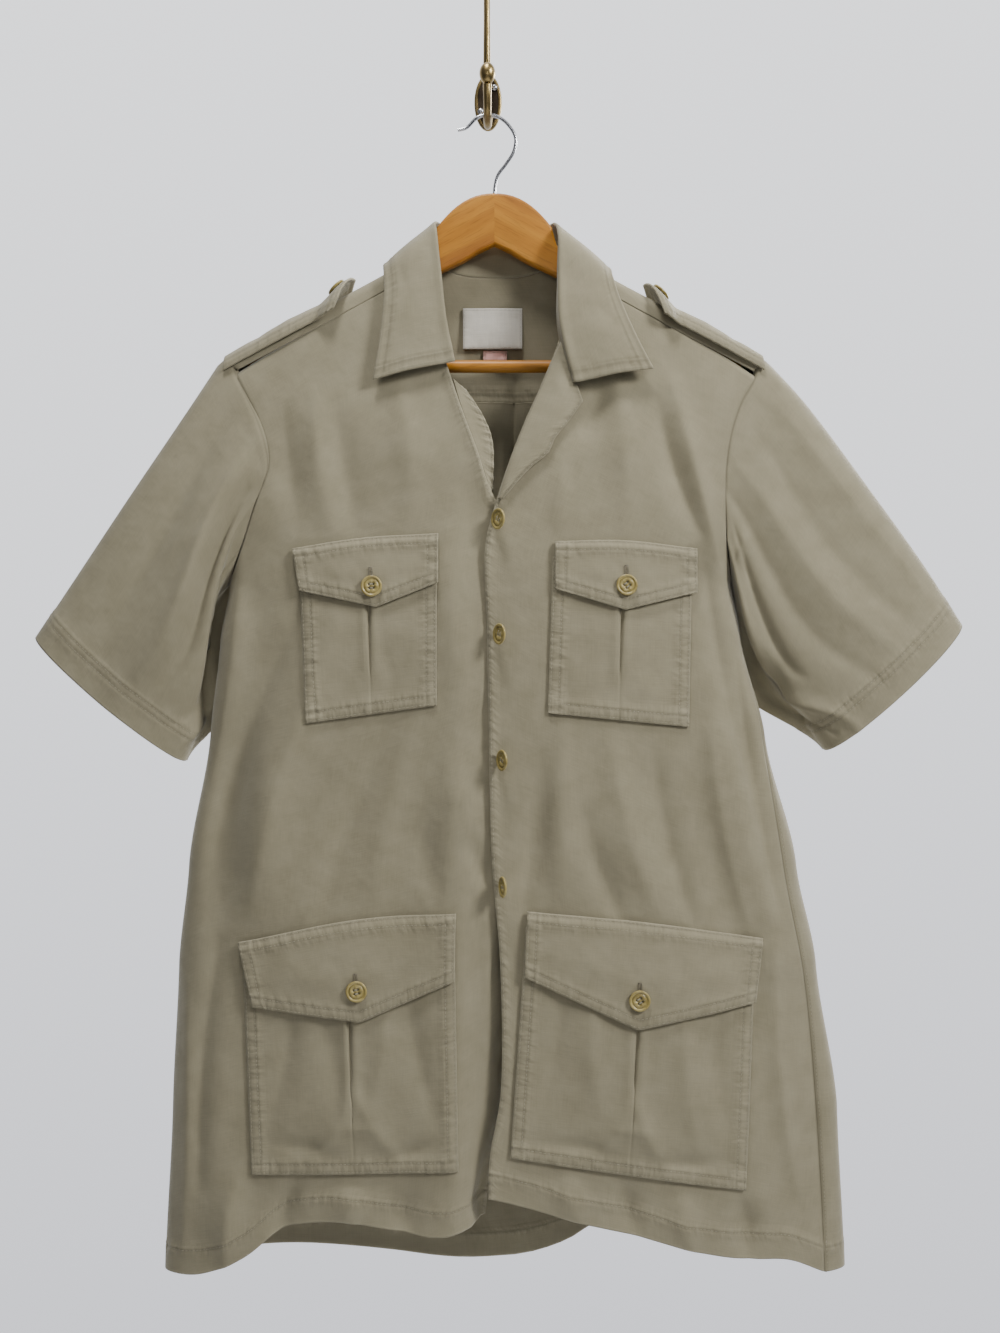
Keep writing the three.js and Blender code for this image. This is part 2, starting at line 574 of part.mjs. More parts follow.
function makeFront(side) {
  const rows = ARMHOLE_ROWS + SIDE_ROWS;
  const outer = sideLine(side, "front");
  const top = frontTopLine(side);
  const columns = top.length - 1;
  const edge = atAngles(lineThrough(FRONT_EDGES[side], rows), "front");
  const neckCorner = side === "left" ? top[columns] : top[0];
  edge[0] = neckCorner;
  const hem = atAngles(lineThrough(HEMS[side], columns), "front");
  const isLeft = side === "left";
  const outline = {
    top,
    bottom: hem,
    left: isLeft ? outer : edge,
    right: isLeft ? edge : outer,
  };
  outline.bottom[0] = outline.left[rows];
  outline.bottom[columns] = outline.right[rows];
  outline.top[0] = outline.left[0];
  outline.top[columns] = outline.right[0];
  const sink = isLeft ? underlap : undefined;
  const points = bodyPatch(outline, sink);
  const grid = trimSeams(trimSeams(points, ["top"]), [isLeft ? "left" : "right"], SEAM_GAP);
  const seam = isLeft ? 0 : columns;
  const inwards = (i, j) => (i === 0 || j === seam ? seamInwards(grid[i][j]) : undefined);
  closedMesh(`front_${side}`, wallTriangles(grid, { inwards }), COLOURS.cloth);
}

function makeBack() {
  const top = yokePoints[0].map((point) => [angleOf(point.x, point.z, "back"), point.z]).toReversed();
  const columns = top.length - 1;
  const left = sideLine("right", "back");
  const right = sideLine("left", "back");
  const hem = atAngles(lineThrough(HEMS.back, columns), "back");
  left[0] = top[0];
  right[0] = top[columns];
  hem[0] = left[left.length - 1];
  hem[columns] = right[right.length - 1];
  const outline = { top, bottom: hem, left, right };
  const points = bodyPatch(outline);
  const grid = trimSeams(trimSeams(points, ["top", "right"]), ["left"], SEAM_GAP);
  const inwards = (i, j) => (i === 0 || j === 0 || j === columns ? seamInwards(grid[i][j]) : undefined);
  closedMesh("back", wallTriangles(grid, { inwards }), COLOURS.cloth);
}

// A sleeve is one tube: rings from the armhole to the hem. A ring starts at the top and runs round the front.
function armholeRing(side) {
  const end = yokePoints[0].length - 1;
  const column = side === "left" ? 0 : end;
  const yoke = yokePoints.map((row) => row[column]);
  const ridge = BACK_YOKE_ROWS + NECK_ROWS;
  const face = (name) => armholeLine(side, name).map(([x, z]) => bodyPoint(x, z, name));
  const frontTop = yoke.slice(ridge, yokeRows);
  const backTop = yoke.slice(1, ridge).toReversed();
  return {
    front: [...frontTop, ...face("front")],
    back: [yoke[ridge], ...backTop, ...face("back")],
  };
}

// The hem's front or back half, from its outer to its inner corner
function hemHalf(side, face, count) {
  const { outer, inner, hem_dip: dip } = SLEEVES[side];
  const [x0, z0] = outer[outer.length - 1];
  const [x1, z1] = inner[inner.length - 1];
  const depth = SLEEVE_HEM[face] * (face === "front" ? -1 : 1);
  return steps(count).map((t) => {
    const angle = Math.PI * t;
    const along = (1 - Math.cos(angle)) / 2;
    return [mix(x0, x1, along), MIDDLE_Y + depth * Math.sin(angle) ** 0.8, mix(z0, z1, along) - dip * Math.sin(angle)];
  });
}

function makeSleeve(side) {
  const ring = armholeRing(side);
  const rows = SLEEVE_HEM.steps;
  const edgeLine = (line) => lineThrough(line.map(([x, z]) => [x, MIDDLE_Y, z]), rows);
  const half = (face) => {
    const armhole = ring[face].map((point) => point.toArray());
    const outer = edgeLine(SLEEVES[side].outer);
    const inner = edgeLine(SLEEVES[side].inner);
    outer[0] = armhole[0];
    inner[0] = armhole[armhole.length - 1];
    return patch({ top: armhole, bottom: hemHalf(side, face, armhole.length - 1), left: outer, right: inner });
  };
  const front = half("front");
  const back = half("back");
  const grid = front.map((row, i) => {
    const round = [...row, ...back[i].slice(1, -1).toReversed()];
    return round.map(([x, y, z]) => new THREE.Vector3(x, y, z));
  });
  trimSeams(grid, ["top"], SEAM_GAP);
  const inwards = (i, j) => (i === 0 ? seamInwards(grid[0][j]) : undefined);
  const outward = side === "left" ? 1 : -1;
  closedMesh(`sleeve_${side}`, wallTriangles(grid, { around: true, outward, inwards }), COLOURS.cloth);
}

// Collar: each section runs from the neck seam up to the roll and down the leaf.
function makeCollar() {
  const sections = COLLAR.map(({ seam, roll, edge }) => {
    const [s, r, e] = [seam, roll, edge].map((p) => new THREE.Vector3(...p));
    const stand = s.clone().lerp(r, STAND_SHARE);
    const over = r.clone().lerp(e, LEAF_SHARES[0]);
    const bow = new THREE.Vector3(0, Math.sign(r.y - MIDDLE_Y + SEAM_GAP) * LEAF_BOW.out, LEAF_BOW.up);
    const leaf = r.clone().lerp(e, LEAF_SHARES[1]).add(bow);
    return [s, stand, r, over, leaf, e].map((p) => p.toArray());
  });
  const grid = sections[0].map((_, k) => {
    const line = new THREE.CatmullRomCurve3(sections.map((row) => new THREE.Vector3(...row[k])));
    return line.getPoints((sections.length - 1) * 2);
  });
  closedMesh("collar", wallTriangles(grid, { thickness: DOUBLE_CLOTH, outward: -1 }), COLOURS.cloth);
}

// A strip between a roll line and a free edge, lying on a front or behind it
function makeStrip(name, outline, { count, lift, outward, thickness }) {
  const roll = lineThrough(outline.roll, count);
  const edge = lineThrough(outline.edge, count);
  const grid = roll.map(([x0, z0], i) =>
    steps(4).map((u) => {
      const x = mix(x0, edge[i][0], u);
      const z = mix(z0, edge[i][1], u);
      return bodyPoint(x, z, "front", -lift(u));
    }),
  );
  closedMesh(name, wallTriangles(grid, { thickness, outward }), COLOURS.cloth);
}

// What is sewn on a front is made from the front's own surface, moved out.
const frontSink = (x, z) => (x < 26 ? underlap(x, z) : 0);

function onFront(x, z, out, side) {
  return bodyPoint(x, z, "front", (side === "left" ? frontSink(x, z) : 0) - out);
}

// How far a pocket's cloth stands off the panel
function bagLift(kind, u, v) {
  const puff = PUFF[kind] * (Math.sin(Math.PI * u) * Math.sin(Math.PI * clamp(v * 0.9 + 0.08, 0, 1))) ** 0.7;
  return LAYER_GAP + CLOTH + puff;
}

// A pocket is a bag with a pleat down its middle, a pointed flap over it and a button on the flap.
function makePocket(name) {
  const [kind, side] = name.split("_");
  const { flap, bag, button } = POCKETS[name];
  const half = PLEAT / Math.abs(bag.top[1][0] - bag.top[0][0]);
  const beforePleat = [...BAG_COLUMNS, 0.5 - half];
  const columns = [...beforePleat, 0.5, ...beforePleat.toReversed().map((u) => 1 - u)];
  const bagPoint = (u, v) => {
    const x = mix(mix(bag.top[0][0], bag.top[1][0], u), mix(bag.low[0][0], bag.low[1][0], u), v);
    const z = mix(mix(bag.top[0][1], bag.top[1][1], u), mix(bag.low[0][1], bag.low[1][1], u), v);
    const pleat = u === 0.5 ? PLEAT_DEPTH * Math.sin(Math.PI * v) : 0;
    return onFront(x, z, bagLift(kind, u, v) - pleat, side);
  };
  const bagGrid = steps(BAG_ROWS).map((v) => columns.map((u) => bagPoint(u, v)));
  closedMesh(`${kind}_pocket_${side}`, wallTriangles(bagGrid, {}), COLOURS.cloth);

  const top = lineThrough(flap.top, FLAP_COLUMNS);
  const pointed = (u) => {
    const [start, middle, end] = flap.low;
    const t = u < 0.5 ? u * 2 : u * 2 - 1;
    return u < 0.5 ? [mix(start[0], middle[0], t), mix(start[1], middle[1], t)]
      : [mix(middle[0], end[0], t), mix(middle[1], end[1], t)];
  };
  const base = LAYER_GAP * 2 + CLOTH + DOUBLE_CLOTH;
  const flapGrid = steps(FLAP_ROWS).map((v) =>
    top.map(([x0, z0], j) => {
      const u = j / FLAP_COLUMNS;
      const [x1, z1] = pointed(u);
      const across = Math.sin(Math.PI * clamp(u, 0.06, 0.94)) ** 0.7;
      const puff = (PUFF[kind] + FLAP_PUFF) * across * Math.min(1, v * 1.6 + 0.1);
      return onFront(mix(x0, x1, v), mix(z0, z1, v), base + puff, side);
    }),
  );
  closedMesh(`${kind}_flap_${side}`, wallTriangles(flapGrid, { thickness: DOUBLE_CLOTH }), COLOURS.cloth);
  const seat = onFront(button[0], button[1], base + PUFF[kind] + FLAP_PUFF + BUTTON.floor, side);
  makeButton(`${kind}_button_${side}`, seat, new THREE.Vector3(0, -1, 0));
}

// A button is a dished disc with a raised rim, back on its seat.
function makeButton(name, seat, facing) {
  const { radius, rim, rim_width: width, floor } = BUTTON;
  const profile = [
    [0, 0], [radius - 1.2, 0], [radius, 0.8], [radius - 0.3, rim + 0.5], [radius - width, rim + 0.4],
    [radius - width - 1, floor], [0, floor],
  ].map(([r, h]) => new THREE.Vector2(r, h));
  const geometry = new THREE.LatheGeometry(profile, 14);
  geometry.applyQuaternion(new THREE.Quaternion().setFromUnitVectors(new THREE.Vector3(0, 1, 0), facing));
  geometry.translate(seat.x, seat.y, seat.z);
  addMesh(name, geometry, COLOURS.button, 0.45, 0);
}

function makeFrontButtons() {
  FRONT_BUTTONS.forEach(({ x, z, turn }, k) => {
    const angle = THREE.MathUtils.degToRad(turn);
    const facing = new THREE.Vector3(-Math.sin(angle), -Math.cos(angle), 0);
    const surface = bodyPoint(x, z, "front");
    const clear = BUTTON.radius * Math.sin(angle) + SEAM_GAP * 2;
    const seat = surface.add(new THREE.Vector3(0, -clear, 0)).addScaledVector(facing, -BUTTON.rim / 2);
    makeButton(`front_button_${k + 1}`, seat, facing);
  });
}

// A shoulder strap follows the shoulder, and its pointed tip stands up near the collar.
function makeStrap(side) {
  const { armhole, tip, button } = STRAPS[side];
  const way = Math.sign(tip - armhole);
  const span = Math.abs(tip - armhole);
  const middle = (STRAP.back - STRAP.front) / 2;
  const half = (STRAP.back + STRAP.front) / 2;
  const lift = (t) => STRAP.gap + STRAP.thickness + STRAP.lift * smoothstep(0.72, 1, t) + 2 * Math.sin(Math.PI * t);
  const grid = steps(STRAP_ROWS).map((t) =>
    STRAP_WIDTH.map((distance) => {
      const fromMiddle = Math.abs(distance - middle) / half;
      const x = armhole + way * (span * t - STRAP.tip_length * fromMiddle * smoothstep(0.6, 1, t));
      return overShoulder(x, distance, lift(t));
    }),
  );
  closedMesh(`strap_${side}`, wallTriangles(grid, { thickness: STRAP.thickness, outward: way }), COLOURS.cloth);
  const share = (button - armhole) / (tip - armhole);
  const onStrap = (t) => overShoulder(mix(armhole, tip, t), 0, lift(t));
  const along = onStrap(share + 0.04).sub(onStrap(share - 0.04)).normalize();
  const facing = new THREE.Vector3(-along.z, 0, along.x).multiplyScalar(way);
  const seat = onStrap(share).addScaledVector(facing, BUTTON.rim / 2);
  makeButton(`strap_button_${side}`, seat, facing);
}

// A flat piece of label just inside the back, on the yoke
function makeLabel(name, size, out) {
  const box = new THREE.BoxGeometry(size.width, size.thickness, size.height);
  const back = bodyPoint(size.x, size.z - size.height / 2, "back").y - CLOTH;
  const low = bodyPoint(size.x, size.z + size.height / 2, "back").y - CLOTH;
  const y = Math.min(back, low) - out - size.thickness / 2;
  box.translate(size.x, y, size.z);
  addMesh(name, box, name === "size_tab" ? COLOURS.tab : COLOURS.label, 0.8, 0);
}

// Hanger: two flat arms that meet in the middle, each cut from a board with rounded edges.
function woodTop(reach) {
  const dome = WOOD.top - 0.00457 * reach ** 2.27;
  const underCloth = shoulderZ(NECK_X + reach) - WOOD_UNDER_CLOTH;
  if (reach < NECK_HALF - 4) return dome;
  return reach < WOOD.dome_reach ? Math.min(dome, underCloth) : underCloth;
}

function makeArm(side) {
  const way = side === "left" ? -1 : 1;
  const gap = SEAM_GAP / 2;
  const upper = WOOD_STATIONS.map((r) => [r, woodTop(r)]);
  const socket = BAR.reach + SEAM_GAP;
  const endTop = woodTop(WOOD.half_span) - 4;
  const endLow = woodTop(WOOD.half_span) - WOOD.end_rise;
  const lower = [
    [WOOD.half_span, endTop], [WOOD.half_span, endLow + 5], [WOOD.half_span - 6, endLow],
    [socket + BAR_SOCKET.wall, BAR.z - BAR_SOCKET.over], [socket, BAR.z - BAR_SOCKET.over],
    [socket, BAR.z + BAR_SOCKET.over], ...WOOD_UNDERSIDE,
  ];
  const outline = [...upper, ...lower].map(([r, z]) => new THREE.Vector2(NECK_X + way * (r + gap), z));
  closedMesh(`hanger_arm_${side}`, boardTriangles(outline, WOOD.thickness, WOOD.bevel), COLOURS.wood, 0.35);
}

// A board with eased edges, upright in the plane of the hanger, from its outline in x and z
function boardTriangles(outline, thickness, bevel) {
  const turn = THREE.ShapeUtils.isClockWise(outline) ? 1 : -1;
  const count = outline.length;
  const insetBy = (amount) =>
    outline.map((point, k) => {
      const before = point.clone().sub(outline[(k + count - 1) % count]).normalize();
      const after = outline[(k + 1) % count].clone().sub(point).normalize();
      const across = new THREE.Vector2(before.y + after.y, -before.x - after.x).normalize();
      return point.clone().addScaledVector(across, turn * amount);
    });
  const half = thickness / 2;
  const backHalf = [
    { y: half - bevel, inset: 0 },
    { y: half - bevel * EASED.step, inset: bevel * EASED.low },
    { y: half, inset: bevel * EASED.inset },
  ];
  const levels = [...backHalf.toReversed().map(({ y, inset }) => ({ y: -y, inset })), ...backHalf];
  const rings = levels.map(({ y, inset }) => insetBy(inset).map((p) => new THREE.Vector3(p.x, MIDDLE_Y + y, p.y)));
  const triangles = [];
  for (let i = 1; i < rings.length; i++)
    for (let k = 0; k < count; k++) {
      const m = (k + 1) % count;
      triangles.push([rings[i - 1][k], rings[i - 1][m], rings[i][m]], [rings[i - 1][k], rings[i][m], rings[i][k]]);
    }
  const first = rings[0];
  const last = rings[rings.length - 1];
  const flat = first.map((p) => new THREE.Vector2(p.x, p.z));
  for (const corners of THREE.ShapeUtils.triangulateShape(flat, [])) {
    const [a, b, c] = turn < 0 ? corners : corners.toReversed();
    triangles.push([first[c], first[b], first[a]], [last[a], last[b], last[c]]);
  }
  return triangles;
}

// The dowel that joins the ends of the two arms
function makeBar() {
  const bar = new THREE.CylinderGeometry(BAR.radius, BAR.radius, BAR.reach * 2, 16);
  bar.rotateZ(Math.PI / 2);
  bar.translate(NECK_X, MIDDLE_Y, BAR.z);
  addMesh("hanger_bar", bar, COLOURS.wood, 0.4, 0);
}

// A rod of round section along a smooth line
function rodAlong(points, radius, count, sides = 8) {
  const path = new THREE.CatmullRomCurve3(points, false, "centripetal");
  const corners = steps(sides).slice(1).map((t) => {
    const angle = t * 2 * Math.PI;
    return new THREE.Vector2(radius * Math.cos(angle), radius * Math.sin(angle));
  });
  return new THREE.ExtrudeGeometry(new THREE.Shape(corners), { extrudePath: path, steps: count });
}

function makeWire() {
  const points = WIRE.map(([x, z]) => new THREE.Vector3(x, MIDDLE_Y, z));
  addMesh("hanger_wire", rodAlong(points, WIRE_RADIUS, 34), COLOURS.wire, 0.25, 1);
}

// The wall hook: an oval plate, a prong that ends in a knob, a rod above and a screw
function makeWallHook() {
  const oval = new THREE.Shape();
  oval.absellipse(0, 0, PLATE.half_width, PLATE.half_height, 0, Math.PI * 2);
  const plate = new THREE.ExtrudeGeometry(oval, {
    depth: PLATE.depth - 2 * PLATE.bevel,
    bevelThickness: PLATE.bevel,
    bevelSize: PLATE.rim,
    bevelOffset: -PLATE.rim,
    bevelSegments: 1,
    curveSegments: 24,
  });
  plate.rotateX(Math.PI / 2);
  plate.translate(0, -PLATE.bevel, 0);
  addMesh("wall_plate", plate, COLOURS.bronze, 0.4, 0.8);

  const prong = PRONG.map(([y, z]) => new THREE.Vector3(0, y, z));
  addMesh("hook_prong", rodAlong(prong, PRONG_RADIUS, 14, 12), COLOURS.brass, 0.35, 1);
  const rod = ROD.map(([y, z]) => new THREE.Vector3(ROD_X, y, z));
  addMesh("hook_rod", rodAlong(rod, ROD_RADIUS, 12, 10), COLOURS.brass, 0.35, 1);

  const dome = steps(4).map((t) => {
    const angle = (Math.PI / 2) * t;
    return new THREE.Vector2(SCREW.radius * Math.cos(angle), SCREW.height * Math.sin(angle));
  });
  const knobProfile = steps(7).map((t) => {
    const angle = Math.PI * (1 - t);
    return new THREE.Vector2(KNOB.radius * Math.sin(angle), (KNOB.length / 2) * (1 + Math.cos(angle)));
  });
  const knob = new THREE.LatheGeometry(knobProfile, 12);
  knob.rotateX(Math.PI / 2);
  const tip = PRONG[PRONG.length - 1];
  knob.translate(0, tip[0], tip[1] + SEAM_GAP);
  addMesh("hook_knob", knob, COLOURS.brass, 0.35, 1);

  const screw = new THREE.LatheGeometry([new THREE.Vector2(0, 0), ...dome], 12);
  screw.rotateX(Math.PI);
  screw.translate(SCREW.x, -PLATE.depth - SEAM_GAP, SCREW.z);
  addMesh("plate_screw", screw, COLOURS.wire, 0.25, 1);
}

makeYoke();
for (const side of ["left", "right"]) {
  makeFront(side);
  makeSleeve(side);
  makeStrap(side);
  makeArm(side);
}
makeBack();
makeCollar();
makeStrip("lapel_right", LAPEL_RIGHT, {
  count: 12,
  lift: (u) => LAYER_GAP + CLOTH + 3 * Math.sin(Math.PI * Math.min(1, u * 1.1)) ** 0.8,
  outward: 1,
  thickness: CLOTH,
});
makeStrip("facing_left", FACING_LEFT, { count: 10, lift: (u) => -3 - 5 * u, outward: 1, thickness: CLOTH });
for (const name of Object.keys(POCKETS)) makePocket(name);
makeFrontButtons();
makeLabel("neck_label", NECK_LABEL, LAYER_GAP);
makeLabel("size_tab", SIZE_TAB, LAYER_GAP);
makeBar();
makeWire();
makeWallHook();

export default shirt;
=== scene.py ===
# %% [markdown]
# # A short-sleeved bush shirt on a hanger
#
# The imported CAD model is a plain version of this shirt: panels of one thickness with the largest folds, a
# wooden hanger and a brass wall hook. This file dresses it. Every piece of cloth is made again as a thin
# shell on the form of its solid, with creases, seams, puckers and stitches. The hanger and the hook get
# their real curves and their finishes.
#
# The first cell loads the CAD model. Everything that follows lies in its frame: metres, +Z up, the wall at
# y = 0, and the front of the shirt facing -Y. Left and right are those of someone who looks at the shirt.

# %% Load the CAD frame
import math

import bmesh
import bpy
import numpy as np
from mathutils import Matrix, Vector


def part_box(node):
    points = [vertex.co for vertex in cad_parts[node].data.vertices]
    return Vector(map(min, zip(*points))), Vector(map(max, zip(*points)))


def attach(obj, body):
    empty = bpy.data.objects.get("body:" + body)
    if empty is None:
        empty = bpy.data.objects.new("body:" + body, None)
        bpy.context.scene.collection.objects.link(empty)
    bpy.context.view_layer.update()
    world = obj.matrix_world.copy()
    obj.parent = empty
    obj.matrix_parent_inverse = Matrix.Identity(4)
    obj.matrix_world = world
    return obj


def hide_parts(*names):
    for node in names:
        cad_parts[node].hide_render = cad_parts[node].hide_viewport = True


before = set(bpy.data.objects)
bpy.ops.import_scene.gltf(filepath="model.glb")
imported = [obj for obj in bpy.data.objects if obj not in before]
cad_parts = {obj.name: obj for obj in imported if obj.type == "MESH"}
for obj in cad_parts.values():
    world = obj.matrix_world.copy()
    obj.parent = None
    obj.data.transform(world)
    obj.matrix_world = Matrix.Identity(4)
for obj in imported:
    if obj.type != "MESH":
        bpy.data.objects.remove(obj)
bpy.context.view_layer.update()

# %% [markdown]
# ## Soft steps and smooth lines
#
# A tailor's pattern is a set of smooth lines through a few marked points. The tables below give those
# points in millimetres, because cloth is measured that way, and the meshes are turned to metres at the very
# end. `smooth_line` draws the line, with its points evenly along it.

# %% Helpers for lines
MM = 0.001
SIDES = ("left", "right")


def mix(a, b, t):
    return a + (b - a) * t


def smoothstep(low, high, value):
    t = np.clip((value - low) / (high - low), 0, 1)
    return t * t * (3 - 2 * t)


def curve_points(points, per_span=16):
    """A smooth line through the points, with the same number of points between each two."""
    p = np.array(points, float)
    p = np.vstack([2 * p[0] - p[1], p, 2 * p[-1] - p[-2]])
    fine = []
    for a, b, c, d in zip(p, p[1:], p[2:], p[3:]):
        t1 = np.linalg.norm(b - a) ** 0.5
        t2 = t1 + np.linalg.norm(c - b) ** 0.5
        t3 = t2 + np.linalg.norm(d - c) ** 0.5
        t = np.linspace(t1, t2, per_span, endpoint=False)[:, None]
        ab, bc, cd = mix(a, b, t / t1), mix(b, c, (t - t1) / (t2 - t1)), mix(c, d, (t - t2) / (t3 - t2))
        abc, bcd = mix(ab, bc, t / t2), mix(bc, cd, (t - t1) / (t3 - t1))
        fine.append(mix(abc, bcd, (t - t1) / (t2 - t1)))
    return np.vstack([*fine, p[-2]])


def resample(line, shares):
    """Points of a polyline at the given shares of its length."""
    length = np.concatenate([[0], np.cumsum(np.linalg.norm(np.diff(line, axis=0), axis=1))])
    return np.stack([np.interp(shares * length[-1], length, axis) for axis in line.T], axis=1)


def smooth_line(points, shares):
    return resample(curve_points(points), shares)


def graded(length, start, end, fine=1.3, coarse=3.0):
    """Shares from 0 to 1 along a length, closer together within start and end millimetres of its ends."""
    first = np.arange(0, start, fine)
    last = length - np.arange(0, end, fine)[::-1]
    middle = np.linspace(start, length - end, max(2, round((length - start - end) / coarse)) + 1)
    return np.concatenate([first, middle[:-1] if end else middle, last if end else []]) / length


print("steps across a 250 mm panel:", len(graded(250, 12, 12)))

# %% [markdown]
# ## The shirt's body as a surface
#
# A shirt on a hanger is a flat tube: it bends over the hanger's arms, opens a little below them and hangs
# straight down. Each horizontal section is a rounded rectangle, so one function can say where the cloth is
# for any x and z on the front or the back. The panels, and all that is sewn on them, take their points from
# it, which is why a pocket follows every fold of the front under it.
#
# The sections and the large folds are those of the CAD model. The `CREASES` are the finer ones that only
# the looks need: each is a soft ridge or trough along a bowed line, as long, deep and wide as it hangs.

# %% The body's form
MIDDLE_Y, NECK_X, NECK_HALF, NECK_TOP = -45, 5.5, 54, -130.5
SHOULDER_SLOPE, NECK_RISE, NECK_RISE_LENGTH = 0.53, 6, 15
BEND, FALL, ROUNDNESS = 10, 60, 2.6
UNDERARM_Z, ARMHOLE_BLEND = -404, 75

SECTIONS = np.array([
    # z, left, right, front, back
    (-1000, -259, 287, 42, 31),
    (-951, -258, 286, 42, 31),
    (-820, -252, 280, 44, 30),
    (-707, -247, 263, 44, 29),
    (-627, -239, 247, 43, 28),
    (-526, -222, 222, 42, 27),
    (-450, -214, 203, 41, 26),
    (-404, -206, 195, 40, 25),
    (-310, -200, 212, 34, 22),
    (-230, -226, 237, 26, 17),
    (-100, -232, 243, 20, 12),
], float)

FOLDS = {
    "front": [
        # x0, z0, x1, z1, width, depth
        (-22, -520, -34, -910, 26, 5),
        (-62, -500, -66, -690, 30, -4),
        (-196, -440, -168, -660, 22, 5),
        (-178, -425, -216, -700, 16, -5),
        (-226, -690, -214, -900, 20, 5),
        (172, -430, 226, -700, 18, 6),
        (165, -560, 196, -680, 18, -4),
        (222, -690, 244, -900, 22, -5),
        (70, -590, 100, -650, 30, 4),
    ],
    "back": [
        # x0, z0, x1, z1, width, depth
        (21, -250, 22, -560, 17, 7),
        (-100, -300, -130, -900, 38, 6),
        (132, -330, 168, -900, 36, -6),
        (-30, -600, -46, -940, 30, -5),
        (76, -560, 90, -940, 32, 5),
        (-190, -430, -150, -620, 20, -5),
    ],
}

CREASES = {
    "front": [
        # x0, z0, x1, z1, bow, width, depth
        (-160, -268, -148, -356, 2, 13, -4.2),
        (-136, -258, -122, -364, 3, 11, 3.6),
        (-118, -270, -99, -370, 3, 12, -4.0),
        (-70, -250, -60, -352, -4, 13, 3.9),
        (-196, -380, -219, -560, -5, 8, 4.4),
        (-150, -436, -219, -640, 8, 15, -8.5),
        (-116, -440, -184, -660, 8, 15, 6.5),
        (-76, -522, -126, -662, 6, 13, -5.5),
        (-52, -505, -88, -655, 5, 12, 3.9),
        (-30, -366, -12, -520, 4, 11, 5.2),
        (-5, -405, -3, -535, -2, 6, -3.9),
        (-26, -540, -5, -640, 4, 9, 5.7),
        (-22, -580, 5, -648, 3, 6, -5.7),
        (-50, -585, -34, -660, 4, 7, -3.9),
        (-210, -690, -226, -880, 6, 10, -6.5),
        (-238, -720, -240, -930, -3, 8, 5.2),
        (-196, -870, -204, -945, 3, 10, 5.9),
        (-150, -872, -160, -925, 3, 10, -5.9),
        (-112, -874, -106, -905, -3, 12, 5.2),
        (-64, -874, -60, -915, 3, 10, -4.7),
        (147, -250, 250, -640, 2, 11, 8.5),
        (134, -262, 166, -366, 4, 9, -6.5),
        (172, -400, 206, -560, 4, 8, -5.2),
        (196, -458, 229, -660, 4, 8, -7.2),
        (174, -520, 205, -676, 5, 9, 4.7),
        (67, -300, 92, -240, 4, 12, -5.2),
        (54, -362, 59, -315, 1, 5, 3.1),
        (100, -240, 108, -362, -4, 12, 3.9),
        (42, -540, 26, -660, -4, 10, -6.0),
        (60, -520, 58, -650, 3, 11, 4.7),
        (74, -580, 106, -668, 5, 10, -5.7),
        (96, -530, 134, -664, 5, 12, 5.2),
        (130, -540, 160, -668, 5, 10, -4.9),
        (226, -690, 242, -880, 5, 9, 6.0),
        (248, -720, 262, -925, -4, 8, -5.5),
        (60, -862, 74, -902, 3, 10, 4.7),
        (104, -868, 118, -912, 3, 10, -4.7),
        (150, -880, 160, -925, 3, 10, 4.7),
        (196, -885, 204, -935, -3, 10, -5.7),
    ],
    "back": [
        # x0, z0, x1, z1, bow, width, depth
        (21.5, -235, 22.5, -560, 0, 3, 7.0),
        (12, -240, 9, -460, 0, 4, -3.0),
        (31, -240, 36, -460, 0, 4, -3.0),
        (-172, -290, -186, -440, 6, 10, 5.0),
        (-140, -275, -158, -470, -6, 11, -4.6),
        (-70, -262, -92, -500, -6, 12, 4.4),
        (76, -262, 104, -520, 6, 12, -4.4),
        (140, -275, 166, -450, -6, 11, 5.0),
        (176, -300, 168, -430, -5, 8, -4.0),
        (-196, -400, -150, -600, 8, 9, 5.6),
        (186, -400, 140, -610, -8, 9, 5.4),
        (-205, -470, -226, -720, -6, 10, -5.6),
        (208, -480, 240, -740, 7, 10, -5.6),
        (-112, -500, -138, -800, 8, 13, 5.6),
        (-64, -560, -76, -880, -6, 12, -5.2),
        (48, -560, 60, -860, -6, 12, -5.4),
        (108, -520, 134, -820, 7, 13, 5.6),
        (-170, -640, -200, -920, 6, 12, 5.4),
        (190, -640, 222, -920, -6, 12, 5.2),
        (-16, -680, -8, -930, 5, 11, 4.8),
        (-110, -820, -84, -945, -6, 12, -4.6),
        (152, -800, 128, -945, 6, 12, -4.6),
    ],
}


def section_at(z):
    lower = np.clip(np.searchsorted(SECTIONS[:, 0], z, side="right") - 1, 0, len(SECTIONS) - 2)
    a, b = SECTIONS[lower], SECTIONS[lower + 1]
    t = np.clip((z - a[..., 0]) / (b[..., 0] - a[..., 0]), 0, 1)
    eased = mix(t, smoothstep(0, 1, t), 0.5)
    left, right, front, back = (mix(a[..., k], b[..., k], eased) for k in range(1, 5))
    return (left + right) / 2, (right - left) / 2, front, back


def shoulder_z(x):
    reach = np.maximum(np.abs(x - NECK_X), NECK_HALF - 4)
    rise = NECK_RISE * np.exp((NECK_HALF - 4 - reach) / NECK_RISE_LENGTH)
    return NECK_TOP - NECK_RISE + rise - SHOULDER_SLOPE * (reach - NECK_HALF + 4)


